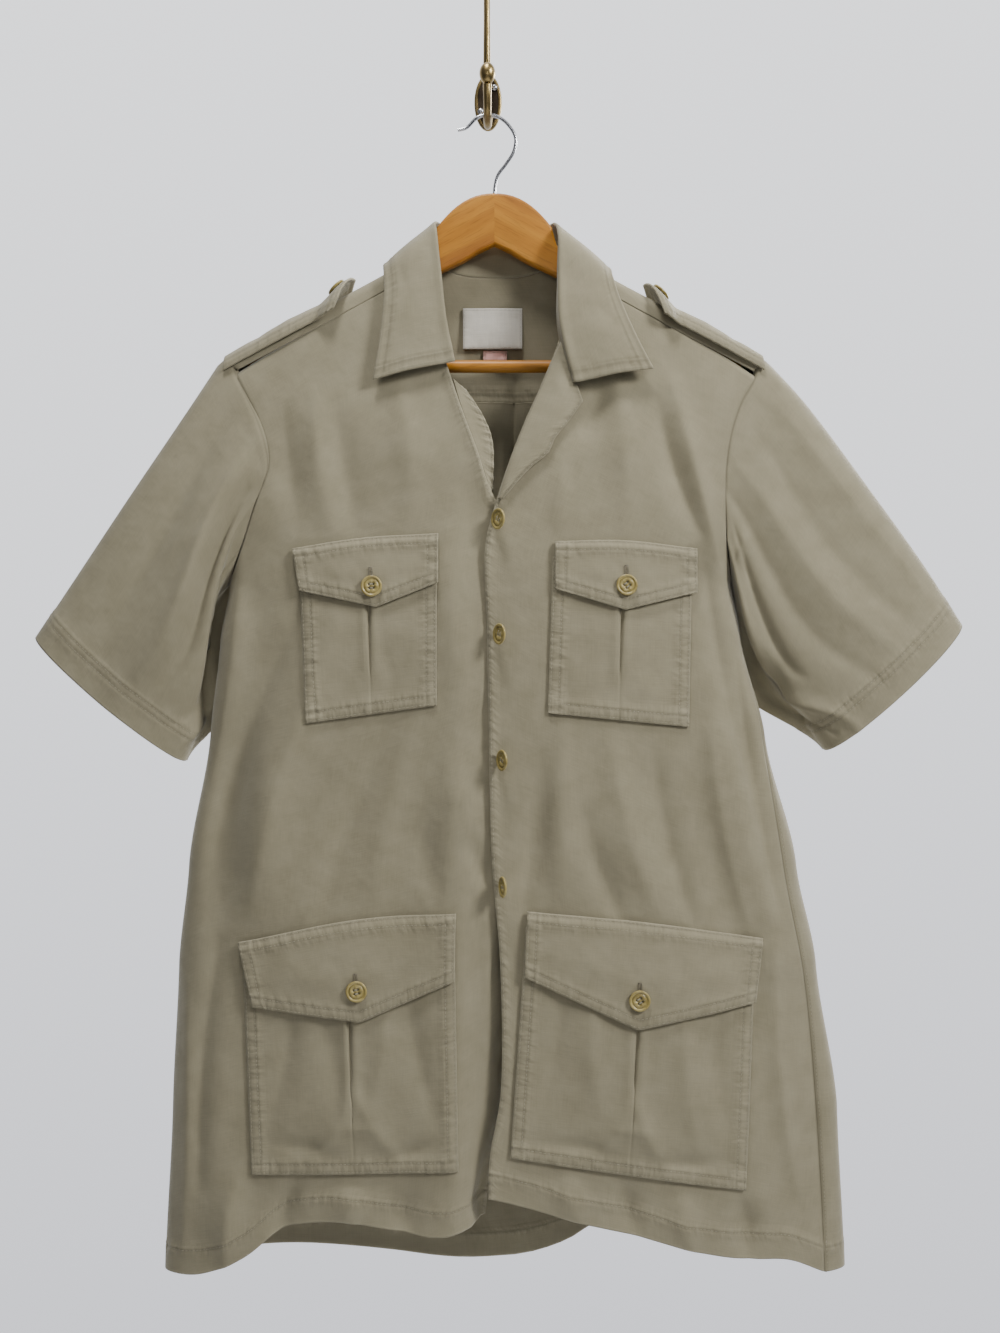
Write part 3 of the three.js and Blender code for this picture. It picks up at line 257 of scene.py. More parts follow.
def crease_at(x, z, line):
    """One crease at points x, z: a soft ridge along a bowed line, which fades at both its ends."""
    x0, z0, x1, z1, bow, width, depth = line
    length = math.hypot(x1 - x0, z1 - z0)
    along_x, along_z = (x1 - x0) / length, (z1 - z0) / length
    along = (x - x0) * along_x + (z - z0) * along_z
    across = (x - x0) * along_z - (z - z0) * along_x
    t = np.clip(along / length, 0, 1)
    off_line = across - 4 * bow * t * (1 - t)
    past = along - t * length
    away = np.hypot(off_line, past) / (width * mix(0.7, 1.15, np.sin(np.pi * t)))
    return depth * np.exp(-away ** 1.5) * np.sin(np.pi * mix(0.1, 0.9, t)) ** 1.2


def fold_depth(x, z, face):
    total = 0.0
    for x0, z0, x1, z1, width, depth in FOLDS[face]:
        dx, dz = x1 - x0, z1 - z0
        held = np.clip(((x - x0) * dx + (z - z0) * dz) / (dx * dx + dz * dz), 0, 1)
        away = np.hypot(x - x0 - held * dx, z - z0 - held * dz) / width
        total = total + depth * np.exp(-away * away) * np.sin(np.pi * mix(0.12, 0.88, held))
    for crease in CREASES[face]:
        total = total + crease_at(x, z, crease)
    return total


# Where the left front rolls in behind the right one, below the last button
ROLL_IN = np.array([(-920, -10), (-885, -12), (-862, -6), (-830, 2), (-773, 5), (-724, 7), (-685, 8)], float)


def underlap(x, z):
    """How far the left front lies behind the right one."""
    under = 4 * smoothstep(-28, -6, x) * smoothstep(-310, -360, z)
    under = under + 8 * smoothstep(-30, 12, x) * smoothstep(-640, -880, z)
    past_roll = x - np.interp(z, ROLL_IN[:, 0], ROLL_IN[:, 1])
    return under + 15 * smoothstep(-2, 6, past_roll) * smoothstep(-650, -700, z)


def body_point(x, z, face, sunk=0.0):
    x, z = np.broadcast_arrays(np.asarray(x, float), np.asarray(z, float))
    centre, half, front, back = section_at(z)
    t = np.clip(np.abs(x - centre) / half, 0, 1)
    across = (1 - t ** ROUNDNESS) ** (1 / ROUNDNESS)
    drop = np.maximum(0, shoulder_z(x) - z)
    bend = np.where(drop < BEND, np.sqrt(np.maximum(0, BEND ** 2 - (BEND - drop) ** 2)), BEND)
    rim = mix(across, 1, smoothstep(UNDERARM_Z, UNDERARM_Z + ARMHOLE_BLEND, z))
    opened = (1 - np.exp(-drop / FALL)) * across
    folds = fold_depth(x, z, face) * np.minimum(1, across * 1.6) * smoothstep(0, 60, drop)
    depth = bend * rim + ((front if face == "front" else back) - BEND) * opened + folds - sunk
    return np.stack([x, MIDDLE_Y + (-depth if face == "front" else depth), z], axis=-1)


def angle_of(x, z, face):
    centre, half = section_at(z)[:2]
    t = np.clip((x - centre) / half, -1, 1)
    angle = np.arcsin(np.sign(t) * np.abs(t) ** (ROUNDNESS / 2))
    return angle if face == "front" else np.pi - angle


def point_at_angle(angle, z, sink=None):
    centre, half = section_at(z)[:2]
    sine = np.sin(angle)
    x = centre + half * np.sign(sine) * np.abs(sine) ** (2 / ROUNDNESS)
    sunk = sink(x, z) if sink else 0.0
    front = body_point(x, z, "front", sunk)
    back = body_point(x, z, "back", sunk)
    return np.where((np.cos(angle) > 0)[..., None], front, back)


print("depth of the chest at the pockets:", np.round(body_point(-90, -450, "front"), 1))

# %% [markdown]
# ## Cloth as a grid
#
# A `Cloth` is a grid of points with its normals and its lengths, so that a step of the work can say "8 mm
# in from this edge" as a tailor would. `press` pushes creases into it. `fold_hem` gives an edge the
# thickness of its turned-in ply, with the groove that each row of stitches draws and the small puckers
# between the stitches. `sink_seam` lets the cloth dip into a plain seam. Both leave marks, one number for
# each point, which the material reads: where the edge is rubbed, where painted shade darkens a groove, and
# where the cloth puckers at a side or at an end, with a painted highlight on the puckers' tops. `line`
# finds the points where a row of stitches runs.
#
# The mesh itself is made by `create_grid`, whose vertices are then moved to the points. It gets its own UV
# map in real metres of cloth, so the weave has the same size on every piece. Solidify gives the thickness.

# %% The Cloth class
MARKS = ("wear", "groove", "pucker_sides", "pucker_ends")


class Cloth:
    def __init__(self, points, outward=1, around=False):
        self.points = np.array(points, float)
        self.outward, self.around = outward, around
        self.marks = {name: np.zeros(self.points.shape[:2]) for name in MARKS}
        self.rows_of_stitches = []

    def normals(self):
        p = self.points
        down = np.gradient(p, axis=0)
        if self.around:
            over = (np.roll(p[:, :-1], -1, axis=1) - np.roll(p[:, :-1], 1, axis=1)) / 2
            over = np.concatenate([over, over[:, :1]], axis=1)
        else:
            over = np.gradient(p, axis=1)
        normal = np.cross(down, over) * self.outward
        return normal / np.maximum(np.linalg.norm(normal, axis=2, keepdims=True), 1e-9)

    def lengths(self):
        """The lengths along the rows, from the left edge, and down the columns, from the top edge."""
        across = np.linalg.norm(np.diff(self.points, axis=1), axis=2).cumsum(axis=1)
        down = np.linalg.norm(np.diff(self.points, axis=0), axis=2).cumsum(axis=0)
        return np.pad(across, ((0, 0), (1, 0))), np.pad(down, ((1, 0), (0, 0)))

    def from_edge(self, edge):
        """Each point's distance from an edge."""
        across, down = self.lengths()
        if edge in ("left", "right"):
            return across if edge == "left" else across[:, -1:] - across
        return down if edge == "top" else down[-1:] - down

    def along_edge(self, edge):
        across, down = self.lengths()
        return down if edge in ("left", "right") else across

    def lift(self, depth):
        self.points += self.normals() * depth[..., None]
        return self

    def press(self, creases):
        """Creases are given in shares of the piece, with their bow, width and depth in millimetres."""
        across, down = self.lengths()
        wide, long = across[:, -1].mean(), down[-1].mean()
        share_across = across / np.maximum(across[:, -1:], 1e-6) * wide
        share_down = down / np.maximum(down[-1:], 1e-6) * long
        total = np.zeros(self.points.shape[:2])
        for x0, y0, x1, y1, bow, width, depth in creases:
            line = (x0 * wide, y0 * long, x1 * wide, y1 * long, bow, width, depth)
            total += crease_at(share_across, share_down, line)
        return self.lift(total)

    def fold_hem(self, edge, rows, band=None, ply=0.35, pucker=0.28, seed=0.0):
        """Turns an edge in: the band is a ply thicker, and each row of stitches draws a groove."""
        inset = self.from_edge(edge)
        along = self.along_edge(edge)
        band = band or rows[-1] + 1.6
        depth = ply * (1 - smoothstep(band, band + 1.6, inset))
        swing = np.sin(along / 1.3 + 2.1 * np.sin(along / 9.1 + seed))
        swing = swing * (0.62 + 0.38 * np.sin(along / 17 + 2 * seed))
        for row in rows:
            near = np.exp(-((inset - row) / 1.0) ** 2)
            depth = depth - 0.34 * near + pucker * swing * np.exp(-((inset - row) / 4.2) ** 2)
            # The groove mark is painted shade: the material darkens the colour along each row of stitches
            self.mark("groove", near)
            self.rows_of_stitches.append((edge, row))
        middle, half = (rows[0] + rows[-1]) / 2, (rows[-1] - rows[0]) / 2 + 1
        past_rows = np.maximum(0, np.abs(inset - middle) - half)
        # The pucker marks make ripples in the bump, and the material paints their tops paler as a painted
        # highlight
        puckers = "pucker_sides" if edge in ("left", "right") else "pucker_ends"
        self.mark(puckers, pucker / 0.3 * np.exp(-((past_rows / 4.5) ** 2)))
        self.mark("wear", np.exp(-((inset / 1.7) ** 2)))
        return self.lift(depth)

    def sink_seam(self, edge, row=None):
        """A plain seam: the cloth dips into it. A row of stitches may run along it."""
        inset = self.from_edge(edge)
        # The groove mark is painted shade: the material darkens the seam line and its row of stitches
        self.mark("groove", 1.6 * np.exp(-((inset / 0.9) ** 2)))
        if row:
            self.mark("groove", 0.6 * np.exp(-((inset - row) / 0.8) ** 2))
            self.rows_of_stitches.append((edge, row))
        return self.lift(-0.7 * np.exp(-((inset / 1.6) ** 2)))

    def mark(self, name, amount):
        self.marks[name] = np.maximum(self.marks[name], amount)

    def line(self, edge, inset, trim=(0.0, 0.0)):
        """Points and normals of a row of stitches, inset from an edge and trimmed at both its ends."""
        distance, normals = self.from_edge(edge), self.normals()
        points, length = self.points, self.points.shape[0 if edge in ("left", "right") else 1]
        found = []
        for k in range(length):
            pick = (k, slice(None)) if edge in ("left", "right") else (slice(None), k)
            d, order = distance[pick], slice(None)
            if d[0] > d[-1]:
                order = slice(None, None, -1)
            values = np.concatenate([points[pick], normals[pick]], axis=1)[order]
            found.append([np.interp(inset, d[order], column) for column in values.T])
        found = np.array(found)
        run = np.concatenate([[0], np.linalg.norm(np.diff(found[:, :3], axis=0), axis=1).cumsum()])
        return found[(run >= trim[0]) & (run <= run[-1] - trim[1])]


def tuck_under(cloth, edge, by=3.5, sunk=0.9):
    """A seam allowance: the cloth runs on under its neighbour, a little deeper."""
    outer, inner, axis = {
        "top": (np.s_[0], np.s_[1], 0),
        "left": (np.s_[:, 0], np.s_[:, 1], 1),
        "right": (np.s_[:, -1], np.s_[:, -2], 1),
    }[edge]
    points, normals = cloth.points, cloth.normals()
    way = points[outer] - points[inner]
    way = way / np.maximum(np.linalg.norm(way, axis=1, keepdims=True), 1e-9)
    added = np.expand_dims(points[outer] - normals[outer] * sunk + way * by, axis)

    def joined(grid, new):
        return np.concatenate([grid, new] if edge == "right" else [new, grid], axis=axis)

    cloth.points = joined(points, added)
    for name, mark in cloth.marks.items():
        cloth.marks[name] = joined(mark, np.zeros(added.shape[:2]))
    return cloth


# %% [markdown]
# ## From a grid to an object
#
# Cloth of a real shirt is about 0.3 mm thick and its seams about 1 mm; 0.7 mm all over keeps the edges
# visible without making them look like felt. `finish_mesh` ends every mesh of this file, hard or soft.

# %% Making the cloth's object
CLOTH = 0.7
DOUBLED_CLOTH = 1.1
# Rows of stitches, in millimetres in from the edge
ROWS = {
    "yoke": (1.6, 7.6),
    "opening": (2.0,),
    "hem": (19.0,),
    "side_seam": 2.4,
    "sleeve_hem": (18.5, 24.0),
    "collar": (1.7, 8.2),
    "lapel": (1.8,),
    "strap": (1.8, 7.4),
    "pocket": (1.6, 8.2),
    "flap": (1.6, 8.0),
    "label": (1.2,),
}
measured = {}


def finish_mesh(mesh, name, smooth=True, sharp_from=None):
    """Mesh data from a bmesh, smooth except at edges that turn by more than the given degrees."""
    data = bpy.data.meshes.new(name)
    mesh.to_mesh(data)
    mesh.free()
    if smooth:
        data.shade_smooth()
    if sharp_from:
        data.set_sharp_from_angle(angle=math.radians(sharp_from))
    return data


def grid_mesh(name, points, uv, flip=False, around=False, keep=None, closed_ends=False, sharp_from=None):
    """A mesh from create_grid whose vertices are moved to the points of a grid."""
    rows, columns = points.shape[:2]
    mesh = bmesh.new()
    bmesh.ops.create_grid(mesh, x_segments=columns - 1, y_segments=rows - 1, size=1)
    uv_layer = mesh.loops.layers.uv.new("weave")
    place = {}
    for vert in mesh.verts:
        j = round((vert.co.x + 1) / 2 * (columns - 1))
        i = round((1 - vert.co.y) / 2 * (rows - 1))
        place[vert] = (i, j)
    for face in mesh.faces:
        for loop in face.loops:
            loop[uv_layer].uv = uv[place[loop.vert]]
    if keep is not None:
        holes = []
        for face in mesh.faces:
            corners = [place[vert] for vert in face.verts]
            if not keep[min(i for i, j in corners), min(j for i, j in corners)]:
                holes.append(face)
        bmesh.ops.delete(mesh, geom=holes, context="FACES")
    first = {place[v][0]: v for v in mesh.verts if place[v][1] == 0}
    last = {place[v][0]: v for v in mesh.verts if place[v][1] == columns - 1}
    for vert in mesh.verts:
        vert.co = Vector(points[place[vert]]) * MM
    order = [place[vert] for vert in mesh.verts]
    if around:
        lost = {place[v] for v in last.values()}
        bmesh.ops.weld_verts(mesh, targetmap={last[i]: first[i] for i in first})
        order = [key for key in order if key not in lost]
    if flip:
        bmesh.ops.reverse_faces(mesh, faces=mesh.faces[:])
    if closed_ends:
        bmesh.ops.holes_fill(mesh, edges=[e for e in mesh.edges if e.is_boundary], sides=0)
        bmesh.ops.recalc_face_normals(mesh, faces=mesh.faces[:])
    return finish_mesh(mesh, name, sharp_from=sharp_from), order


def add_object(name, data, material, node=None):
    piece = bpy.data.objects.new(name, data)
    bpy.context.scene.collection.objects.link(piece)
    data.materials.append(material)
    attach(piece, "root")
    if node:
        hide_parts(node)
    return piece


def cloth_object(node, cloth, material=None, thickness=CLOTH, keep=None):
    """Dresses a CAD node in its cloth and prints its flat size in mm and its area in square metres."""
    name = f"{node}_cloth"
    across, down = cloth.lengths()
    wide, long = across[:, -1].mean(), down[-1].mean()
    uv = np.stack([across - across.mean(), -down], axis=2) * MM
    data, order = grid_mesh(name, cloth.points, uv, cloth.outward < 0, cloth.around, keep)
    for mark, amount in cloth.marks.items():
        values = [float(amount[key]) for key in order]
        data.attributes.new(mark, "FLOAT", "POINT").data.foreach_set("value", values)
    piece = add_object(name, data, material or poplin, node)
    wall = piece.modifiers.new("thickness", "SOLIDIFY")
    wall.thickness = thickness * MM
    wall.offset = -1
    surface = sum(face.area for face in data.polygons)
    print(f"{name}: {wide:.0f} x {long:.0f} mm, {surface:.4f} m2 of cloth, {len(data.polygons)} faces")
    measured[node] = cloth


# %% [markdown]
# ## Finishes
#
# The cloth is an olive poplin: fine threads both ways, a slight sheen, and colour that varies a little with
# washing. All of it is built from wave and noise nodes on the cloth's own UV map, so the weave runs with
# the threads of each piece.
#
# A node tree is easier to read as a few lines of "this node, with these settings, from that output", so
# small helpers make a node, set its values and join its inputs in one call.

# %% Helpers for node trees
def start_material(name, colour, roughness, **sockets):
    material = bpy.data.materials.new(name)
    material.use_nodes = True
    tree = material.node_tree
    shader = tree.nodes["Principled BSDF"]
    shader.inputs["Base Color"].default_value = (*colour, 1)
    shader.inputs["Roughness"].default_value = roughness
    for socket, value in sockets.items():
        shader.inputs[socket.replace("_", " ")].default_value = value
    return material, tree, shader


def feed(tree, socket, value):
    """Joins an output to the socket, or sets the socket's own value."""
    if isinstance(value, bpy.types.NodeSocket):
        tree.links.new(value, socket)
    else:
        socket.default_value = value


def add_node(tree, kind, settings=None, **inputs):
    node = tree.nodes.new(kind)
    for key, value in (settings or {}).items():
        setattr(node, key, value)
    for key, value in inputs.items():
        feed(tree, node.inputs[key.replace("_", " ")], value)
    return node


def object_place(tree):
    return add_node(tree, "ShaderNodeTexCoord").outputs["Object"]


def stretched(tree, place, **inputs):
    return add_node(tree, "ShaderNodeMapping", None, Vector=place, **inputs).outputs[0]


def noise(tree, place, scale, detail=2.0, **inputs):
    node = add_node(tree, "ShaderNodeTexNoise", None, Vector=place, Scale=scale, Detail=detail, **inputs)
    return node.outputs[0]


def bump(tree, strength, distance, height, **under):
    """A bump, over the one that is given as Normal."""
    values = {"Strength": strength, "Distance": distance, "Height": height, **under}
    return add_node(tree, "ShaderNodeBump", None, **values).outputs[0]


def calc(tree, operation, first, second):
    node = add_node(tree, "ShaderNodeMath", {"operation": operation})
    feed(tree, node.inputs[0], first)
    feed(tree, node.inputs[1], second)
    return node.outputs[0]


def blend_colours(tree, share, first, second, way="MIX"):
    """The second colour over the first, by a share. Either may be a colour or an output."""
    node = add_node(tree, "ShaderNodeMix", {"data_type": "RGBA", "blend_type": way})
    feed(tree, node.inputs[0], share)
    for socket, value in ((node.inputs[6], first), (node.inputs[7], second)):
        feed(tree, socket, (*value, 1) if isinstance(value, tuple) else value)
    return node.outputs[2]


def ramp(tree, source, stops):
    """Greys or colours at the given places from 0 to 1."""
    node = tree.nodes.new("ShaderNodeValToRGB")
    tree.links.new(source, node.inputs[0])
    while len(node.color_ramp.elements) < len(stops):
        node.color_ramp.elements.new(0.5)
    for element, (position, value) in zip(node.color_ramp.elements, stops):
        element.position = position
        element.color = (*value, 1) if isinstance(value, tuple) else (value, value, value, 1)
    return node.outputs[0]


# %% [markdown]
# ### Poplin
#
# Two wave textures at right angles are the threads. Long thin noise along each thread direction makes some
# of them thicker, as in real yarn. A larger noise moves the colour between the washed and the unwashed
# olive, and one of hand size presses the soft unevenness of worn cloth into the shading.
#
# The marks on the cloth do the rest. Where it is rubbed it is paler, a groove gets painted shade, and
# between the stitches short ripples run across the seam, with a painted highlight on their tops.

# %% The cloth's materials
THREAD = 0.00045
WAVE_SCALE = 0.3142 / THREAD
# Length and width in metres of the thick places in the yarn, and of the ripples at a seam
SLUB, RIPPLE = (0.02, 0.0008), (0.014, 0.0052)
OLIVE, OLIVE_DARK, OLIVE_PALE = (0.268, 0.238, 0.155), (0.245, 0.217, 0.139), (0.36, 0.325, 0.225)


def both_ways(long, wide):
    """Scales that stretch a noise first along the weft and then along the warp."""
    return (1 / long, 1 / wide, 1), (1 / wide, 1 / long, 1)


def cloth_material(name, base, dark, pale, sheen=0.18, weave=0.35):
    material, tree, shader = start_material(
        name, base, 0.82, Sheen_Weight=sheen, Sheen_Roughness=0.45, Specular_IOR_Level=0.28)
    uv = add_node(tree, "ShaderNodeUVMap", {"uv_map": "weave"}).outputs["UV"]
    place = object_place(tree)
    threads = []
    for bands in ("X", "Y"):
        wave = add_node(tree, "ShaderNodeTexWave", {"bands_direction": bands},
                        Vector=uv, Scale=WAVE_SCALE, Distortion=0.6)
        threads.append(wave.outputs["Fac"])
    yarn = [noise(tree, stretched(tree, uv, Scale=scale), 1.0) for scale in both_ways(*SLUB)]
    marks = [add_node(tree, "ShaderNodeAttribute", {"attribute_name": mark}).outputs["Fac"] for mark in MARKS]
    wear, groove, *puckers = marks

    washed = ramp(tree, noise(tree, place, 7.0, 4.0, Roughness=0.6), [(0.35, 0.0), (0.65, 1.0)])
    mottled = ramp(tree, noise(tree, place, 60.0, 3.0), [(0.3, 0.0), (0.75, 0.35)])
    colour = blend_colours(tree, washed, dark, base)
    colour = blend_colours(tree, mottled, colour, pale)
    for thread in yarn:
        shade = ramp(tree, thread, [(0.3, 0.84), (0.7, 1.0)])
        colour = blend_colours(tree, 0.45, colour, shade, "MULTIPLY")
    ripples = []
    for pucker, scale in zip(puckers, both_ways(*RIPPLE)):
        uneven = noise(tree, stretched(tree, uv, Scale=scale), 1.0, 1.6)
        ripples.append(calc(tree, "MULTIPLY", pucker, uneven))
    ripple = calc(tree, "ADD", *ripples)
    colour = blend_colours(tree, calc(tree, "MULTIPLY", wear, 0.4), colour, pale)
    # Painted highlight: the tops of the ripples along the seams are painted paler
    colour = blend_colours(tree, ramp(tree, ripple, [(0.45, 0.0), (0.75, 0.22)]), colour, pale)
    # Painted shade: grooves and seam lines are darkened in the colour itself
    shadow = tuple(0.55 * channel for channel in dark)
    colour = blend_colours(tree, calc(tree, "MULTIPLY", groove, 0.4), colour, shadow)
    feed(tree, shader.inputs["Base Color"], colour)

    soft = bump(tree, 0.5, 0.0022, noise(tree, place, 34.0, 3.0, Roughness=0.55))
    seams = bump(tree, 0.6, 0.0022, ripple, Normal=soft)
    fine = bump(tree, weave, 0.00012, calc(tree, "ADD", *threads), Normal=seams)
    feed(tree, shader.inputs["Normal"], bump(tree, 0.4, 0.0002, yarn[0], Normal=fine))
    return material


poplin = cloth_material("olive_poplin", OLIVE, OLIVE_DARK, OLIVE_PALE)
satin = cloth_material("label_satin", (0.62, 0.585, 0.50), (0.55, 0.51, 0.43), (0.72, 0.69, 0.62), 0.4, 0.6)
pink_tape = cloth_material("pink_tape", (0.70, 0.40, 0.35), (0.60, 0.32, 0.28), (0.78, 0.52, 0.46), 0.3, 0.6)
print("cloth finishes:", poplin.name, satin.name, pink_tape.name)

# %% [markdown]
# ### Sewing thread
#
# The thread is olive like the cloth, and slightly glossy. Each stitch is a short rod, far too small to carry
# a pattern of its own, so the thread's colour varies over a few stitches. The buttonholes have a darker one.

# %% Thread
thread, tree, shader = start_material("sewing_thread", (0.30, 0.27, 0.185), 0.6, Sheen_Weight=0.2)
patches = [(0.3, (0.20, 0.178, 0.115)), (0.7, (0.37, 0.335, 0.235))]
feed(tree, shader.inputs["Base Color"], ramp(tree, noise(tree, object_place(tree), 180.0), patches))
dark_thread = start_material("buttonhole_thread", (0.165, 0.14, 0.09), 0.6, Sheen_Weight=0.2)[0]
print("threads:", thread.name, dark_thread.name)

# %% [markdown]
# ## The yoke
#
# The yoke is the double piece over the shoulders. It reaches from the front yoke seams, over the hanger, to
# the back yoke seam, and the neck is cut out of it. A point on it is told by x and by the distance over the
# shoulder line, so one grid covers both sides of the bend.

# %% Points over the shoulder
ARMHOLE_TOP = {"left": -215.5, "right": 225.5}
FRONT_SEAM_DROP, BACK_SEAM_Z, NECK_BACK_Z = 17, -256, -156
ARMHOLES = {
    "left": {
        "front": [(-199, -242), (-180, -281), (-173, -312), (-184, -345), (-195, -378), (-206, UNDERARM_Z)],
        "back": [(-201, -256), (-186, -300), (-185, -345), (-194, -380), (-206, UNDERARM_Z)],
    },
    "right": {
        "front": [(212, -244), (199, -268), (190, -303), (188, -345), (190, -378), (195, UNDERARM_Z)],
        "back": [(211, -256), (197, -300), (190, -345), (190, -380), (195, UNDERARM_Z)],
    },
}


def distance_of(drop):
    """The distance over the shoulder line at which the cloth is a given drop below it."""
    bent = BEND * np.arccos(np.clip(1 - drop / BEND, -1, 1))
    return np.where(drop < BEND, bent, drop - BEND + BEND * np.pi / 2)


def over_shoulder(x, distance, raised=0.0):
    x, distance = np.broadcast_arrays(np.asarray(x, float), np.asarray(distance, float))
    bend_length = BEND * np.pi / 2
    way = np.abs(distance)
    drop = np.where(way < bend_length, BEND * (1 - np.cos(way / BEND)), BEND + way - bend_length)
    z = shoulder_z(x) - drop
    point = np.where((distance < 0)[..., None], body_point(x, z, "front"), body_point(x, z, "back"))
    angle = np.minimum(way / BEND, np.pi / 2) * np.sign(distance)
    out = np.stack([np.zeros_like(angle), np.sin(angle), np.cos(angle)], axis=-1)
    return point + out * np.broadcast_to(raised, angle.shape)[..., None]


def yoke_distance(row, x):
    """Row 0 is the back seam, 1 the neck seam, 2 the shoulder line and 3 the front seam."""
    shoulder = shoulder_z(x)
    reach = np.clip(np.abs(x - NECK_X) / NECK_HALF, 0, 1)
    neck_z = mix(NECK_BACK_Z, shoulder_z(NECK_X + NECK_HALF) - 6, reach ** 3)
    neck_drop = np.where(reach < 1, shoulder - neck_z, 6)
    knots = [distance_of(shoulder - BACK_SEAM_Z), distance_of(neck_drop), 0 * shoulder,
             0 * shoulder - distance_of(FRONT_SEAM_DROP)]
    k = min(int(row), 2)
    return mix(knots[k], knots[k + 1], row - k)


def yoke_end_x(side, row):
    face, last = ("front", 3) if row > 2 else ("back", 0)
    top = ARMHOLE_TOP[side]
    share = yoke_distance(row, top) / yoke_distance(last, top)
    return mix(top, ARMHOLES[side][face][0][0], share)


def yoke_row(row, shoulder_shares, neck_shares):
    left, right = yoke_end_x("left", row), yoke_end_x("right", row)
    low, high = NECK_X - NECK_HALF, NECK_X + NECK_HALF
    x = np.concatenate([mix(left, low, shoulder_shares), mix(low, high, neck_shares)[1:],
                        mix(high, right, 1 - shoulder_shares[::-1])[1:]])
    return over_shoulder(x, yoke_distance(row, x))


# %% [markdown]
# The yoke's grid has a hole where the neck is: `keep` tells which of its cells are cloth. It is cut about
# 440 mm across and 150 mm deep, less the neck.

# %% Make the yoke
shoulder_shares = graded(170, 12, 4, coarse=3.6)
neck_shares = np.linspace(0, 1, 33)
back_rows = graded(105, 12, 6, coarse=3.2)
yoke_rows = np.concatenate([back_rows, 1 + np.linspace(0, 1, 9)[1:], 2 + np.linspace(0, 1, 17)[1:]])
yoke = Cloth([yoke_row(row, shoulder_shares, neck_shares) for row in yoke_rows], outward=1)
neck_start, neck_end = len(shoulder_shares) - 1, len(shoulder_shares) - 1 + len(neck_shares) - 1
cells = np.ones((len(yoke_rows) - 1, yoke.points.shape[1] - 1), bool)
cells[len(back_rows) - 1:, neck_start:neck_end] = False
yoke.fold_hem("top", ROWS["yoke"], ply=0.3, seed=1.0)
yoke.marks["wear"][:] = 0
yoke.sink_seam("left")
yoke.sink_seam("right")
yoke.press([
    # shares across and down at the start and at the end, then bow, width and depth
    (0.16, 0.1, 0.2, 0.6, 2, 9, 0.8),
    (0.3, 0.05, 0.33, 0.5, -2, 10, -0.7),
    (0.68, 0.05, 0.66, 0.55, 2, 10, 0.8),
    (0.82, 0.1, 0.8, 0.6, -2, 9, -0.8),
])
cloth_object("yoke", yoke, keep=cells)

# %% [markdown]
# ## Fronts and back
#
# Each panel is cut with straight grain and sewn at its armhole, its side and the yoke. A panel fills the
# space between four lines round the body: its upper edge, its hem, and its two sides. Measured as an angle
# round the body against height, those lines never cross, even where the panel turns the corner at the side.

# %% Panels of the body
FRONT_EDGES = {
    "left": [(-48.5, -151), (-47, -172), (-43, -200), (-31, -236), (-21, -266), (-8, -301), (5, -338),
             (24, -366), (24, -680), (20, -760), (6, -840), (-2, -903)],
    "right": [(59.5, -151), (59, -172), (58.7, -205), (43, -248), (29, -280), (16, -314), (7, -342),
              (-1.5, -378), (0, -440), (2, -560), (4, -626), (10, -700), (10.5, -800), (2, -850), (1, -882)],
}
HEMS = {
    "left": [(-258, -951), (-226, -948), (-190, -932), (-158, -908), (-115, -901), (-70, -908), (-35, -912),
             (-2, -903)],
    "right": [(1, -882), (33, -890), (75, -902), (120, -913), (162, -925), (198, -932), (236, -935),
              (266, -948)],
    "back": [(286, -952), (240, -953), (190, -954), (100, -951), (50, -936), (0, -931), (-34, -948),
             (-70, -960), (-130, -952), (-190, -946), (-258, -951)],
}
RIGHT_SEAM = [(195, UNDERARM_Z), (214, -500), (236, -640), (251, -720), (260, -820), (264, -890), (266, -948)]
# The back's pleat in shares of its width: its ends, the number of columns in it and its margin
PLEAT = {"low": 0.47, "high": 0.502, "count": 17, "margin": 0.002}


def at_angles(line, face):
    return np.stack([angle_of(line[:, 0], line[:, 1], face), line[:, 1]], axis=1)


def by_height(line, shares):
    z = mix(line[0, 1], line[-1, 1], shares)
    return np.stack([np.interp(-z, -line[:, 1], line[:, 0]), z], axis=1)


def side_line(side, face):
    armhole = at_angles(curve_points(ARMHOLES[side][face]), face)
    if side == "right":
        seam = at_angles(curve_points(RIGHT_SEAM), "front")
    else:
        turn = -np.pi / 2 if face == "front" else 1.5 * np.pi
        seam = np.array([(turn, UNDERARM_Z), (turn, HEMS["left"][0][1])])
    return np.concatenate([armhole, seam[1:]])


def settled(angle, across, rows=24):
    """A side line's angles as the columns near it follow them: exactly at the top, less further in."""
    padded = np.concatenate([np.repeat(angle[:1], rows), angle, np.repeat(angle[-1:], rows)])
    soft = np.convolve(padded, np.hanning(2 * rows + 1) / rows, "valid")
    soft = mix(angle, soft, smoothstep(0, rows, np.arange(len(angle))))[:, None]
    return soft + (angle[:, None] - soft) * (1 - across) ** 6


def bow_of(line, across):
    """How far a line of (angle, z) lies above the straight one between its ends."""
    shares = (line[:, 0] - line[0, 0]) / (line[-1, 0] - line[0, 0])
    return np.interp(across, shares, line[:, 1]) - mix(line[0, 1], line[-1, 1], across)


def panel(top, bottom, left, right, across, down, sink=None):
    """Fills a panel between its edges, each a line of (angle, z)."""
    v = down[:, None]
    angle = mix(settled(left[:, 0], across), settled(right[:, 0], 1 - across), across)
    z = mix(left[:, 1:], right[:, 1:], across) + (1 - v) * bow_of(top, across) + v * bow_of(bottom, across)
    return point_at_angle(angle, z, sink)


def finer_between(shares, low, high, count, margin):
    """The shares of a grid's columns, with closer ones where a pleat is."""
    away = shares[(shares < low - margin) | (shares > high + margin)]
    return np.sort(np.concatenate([away, np.linspace(low, high, count)]))


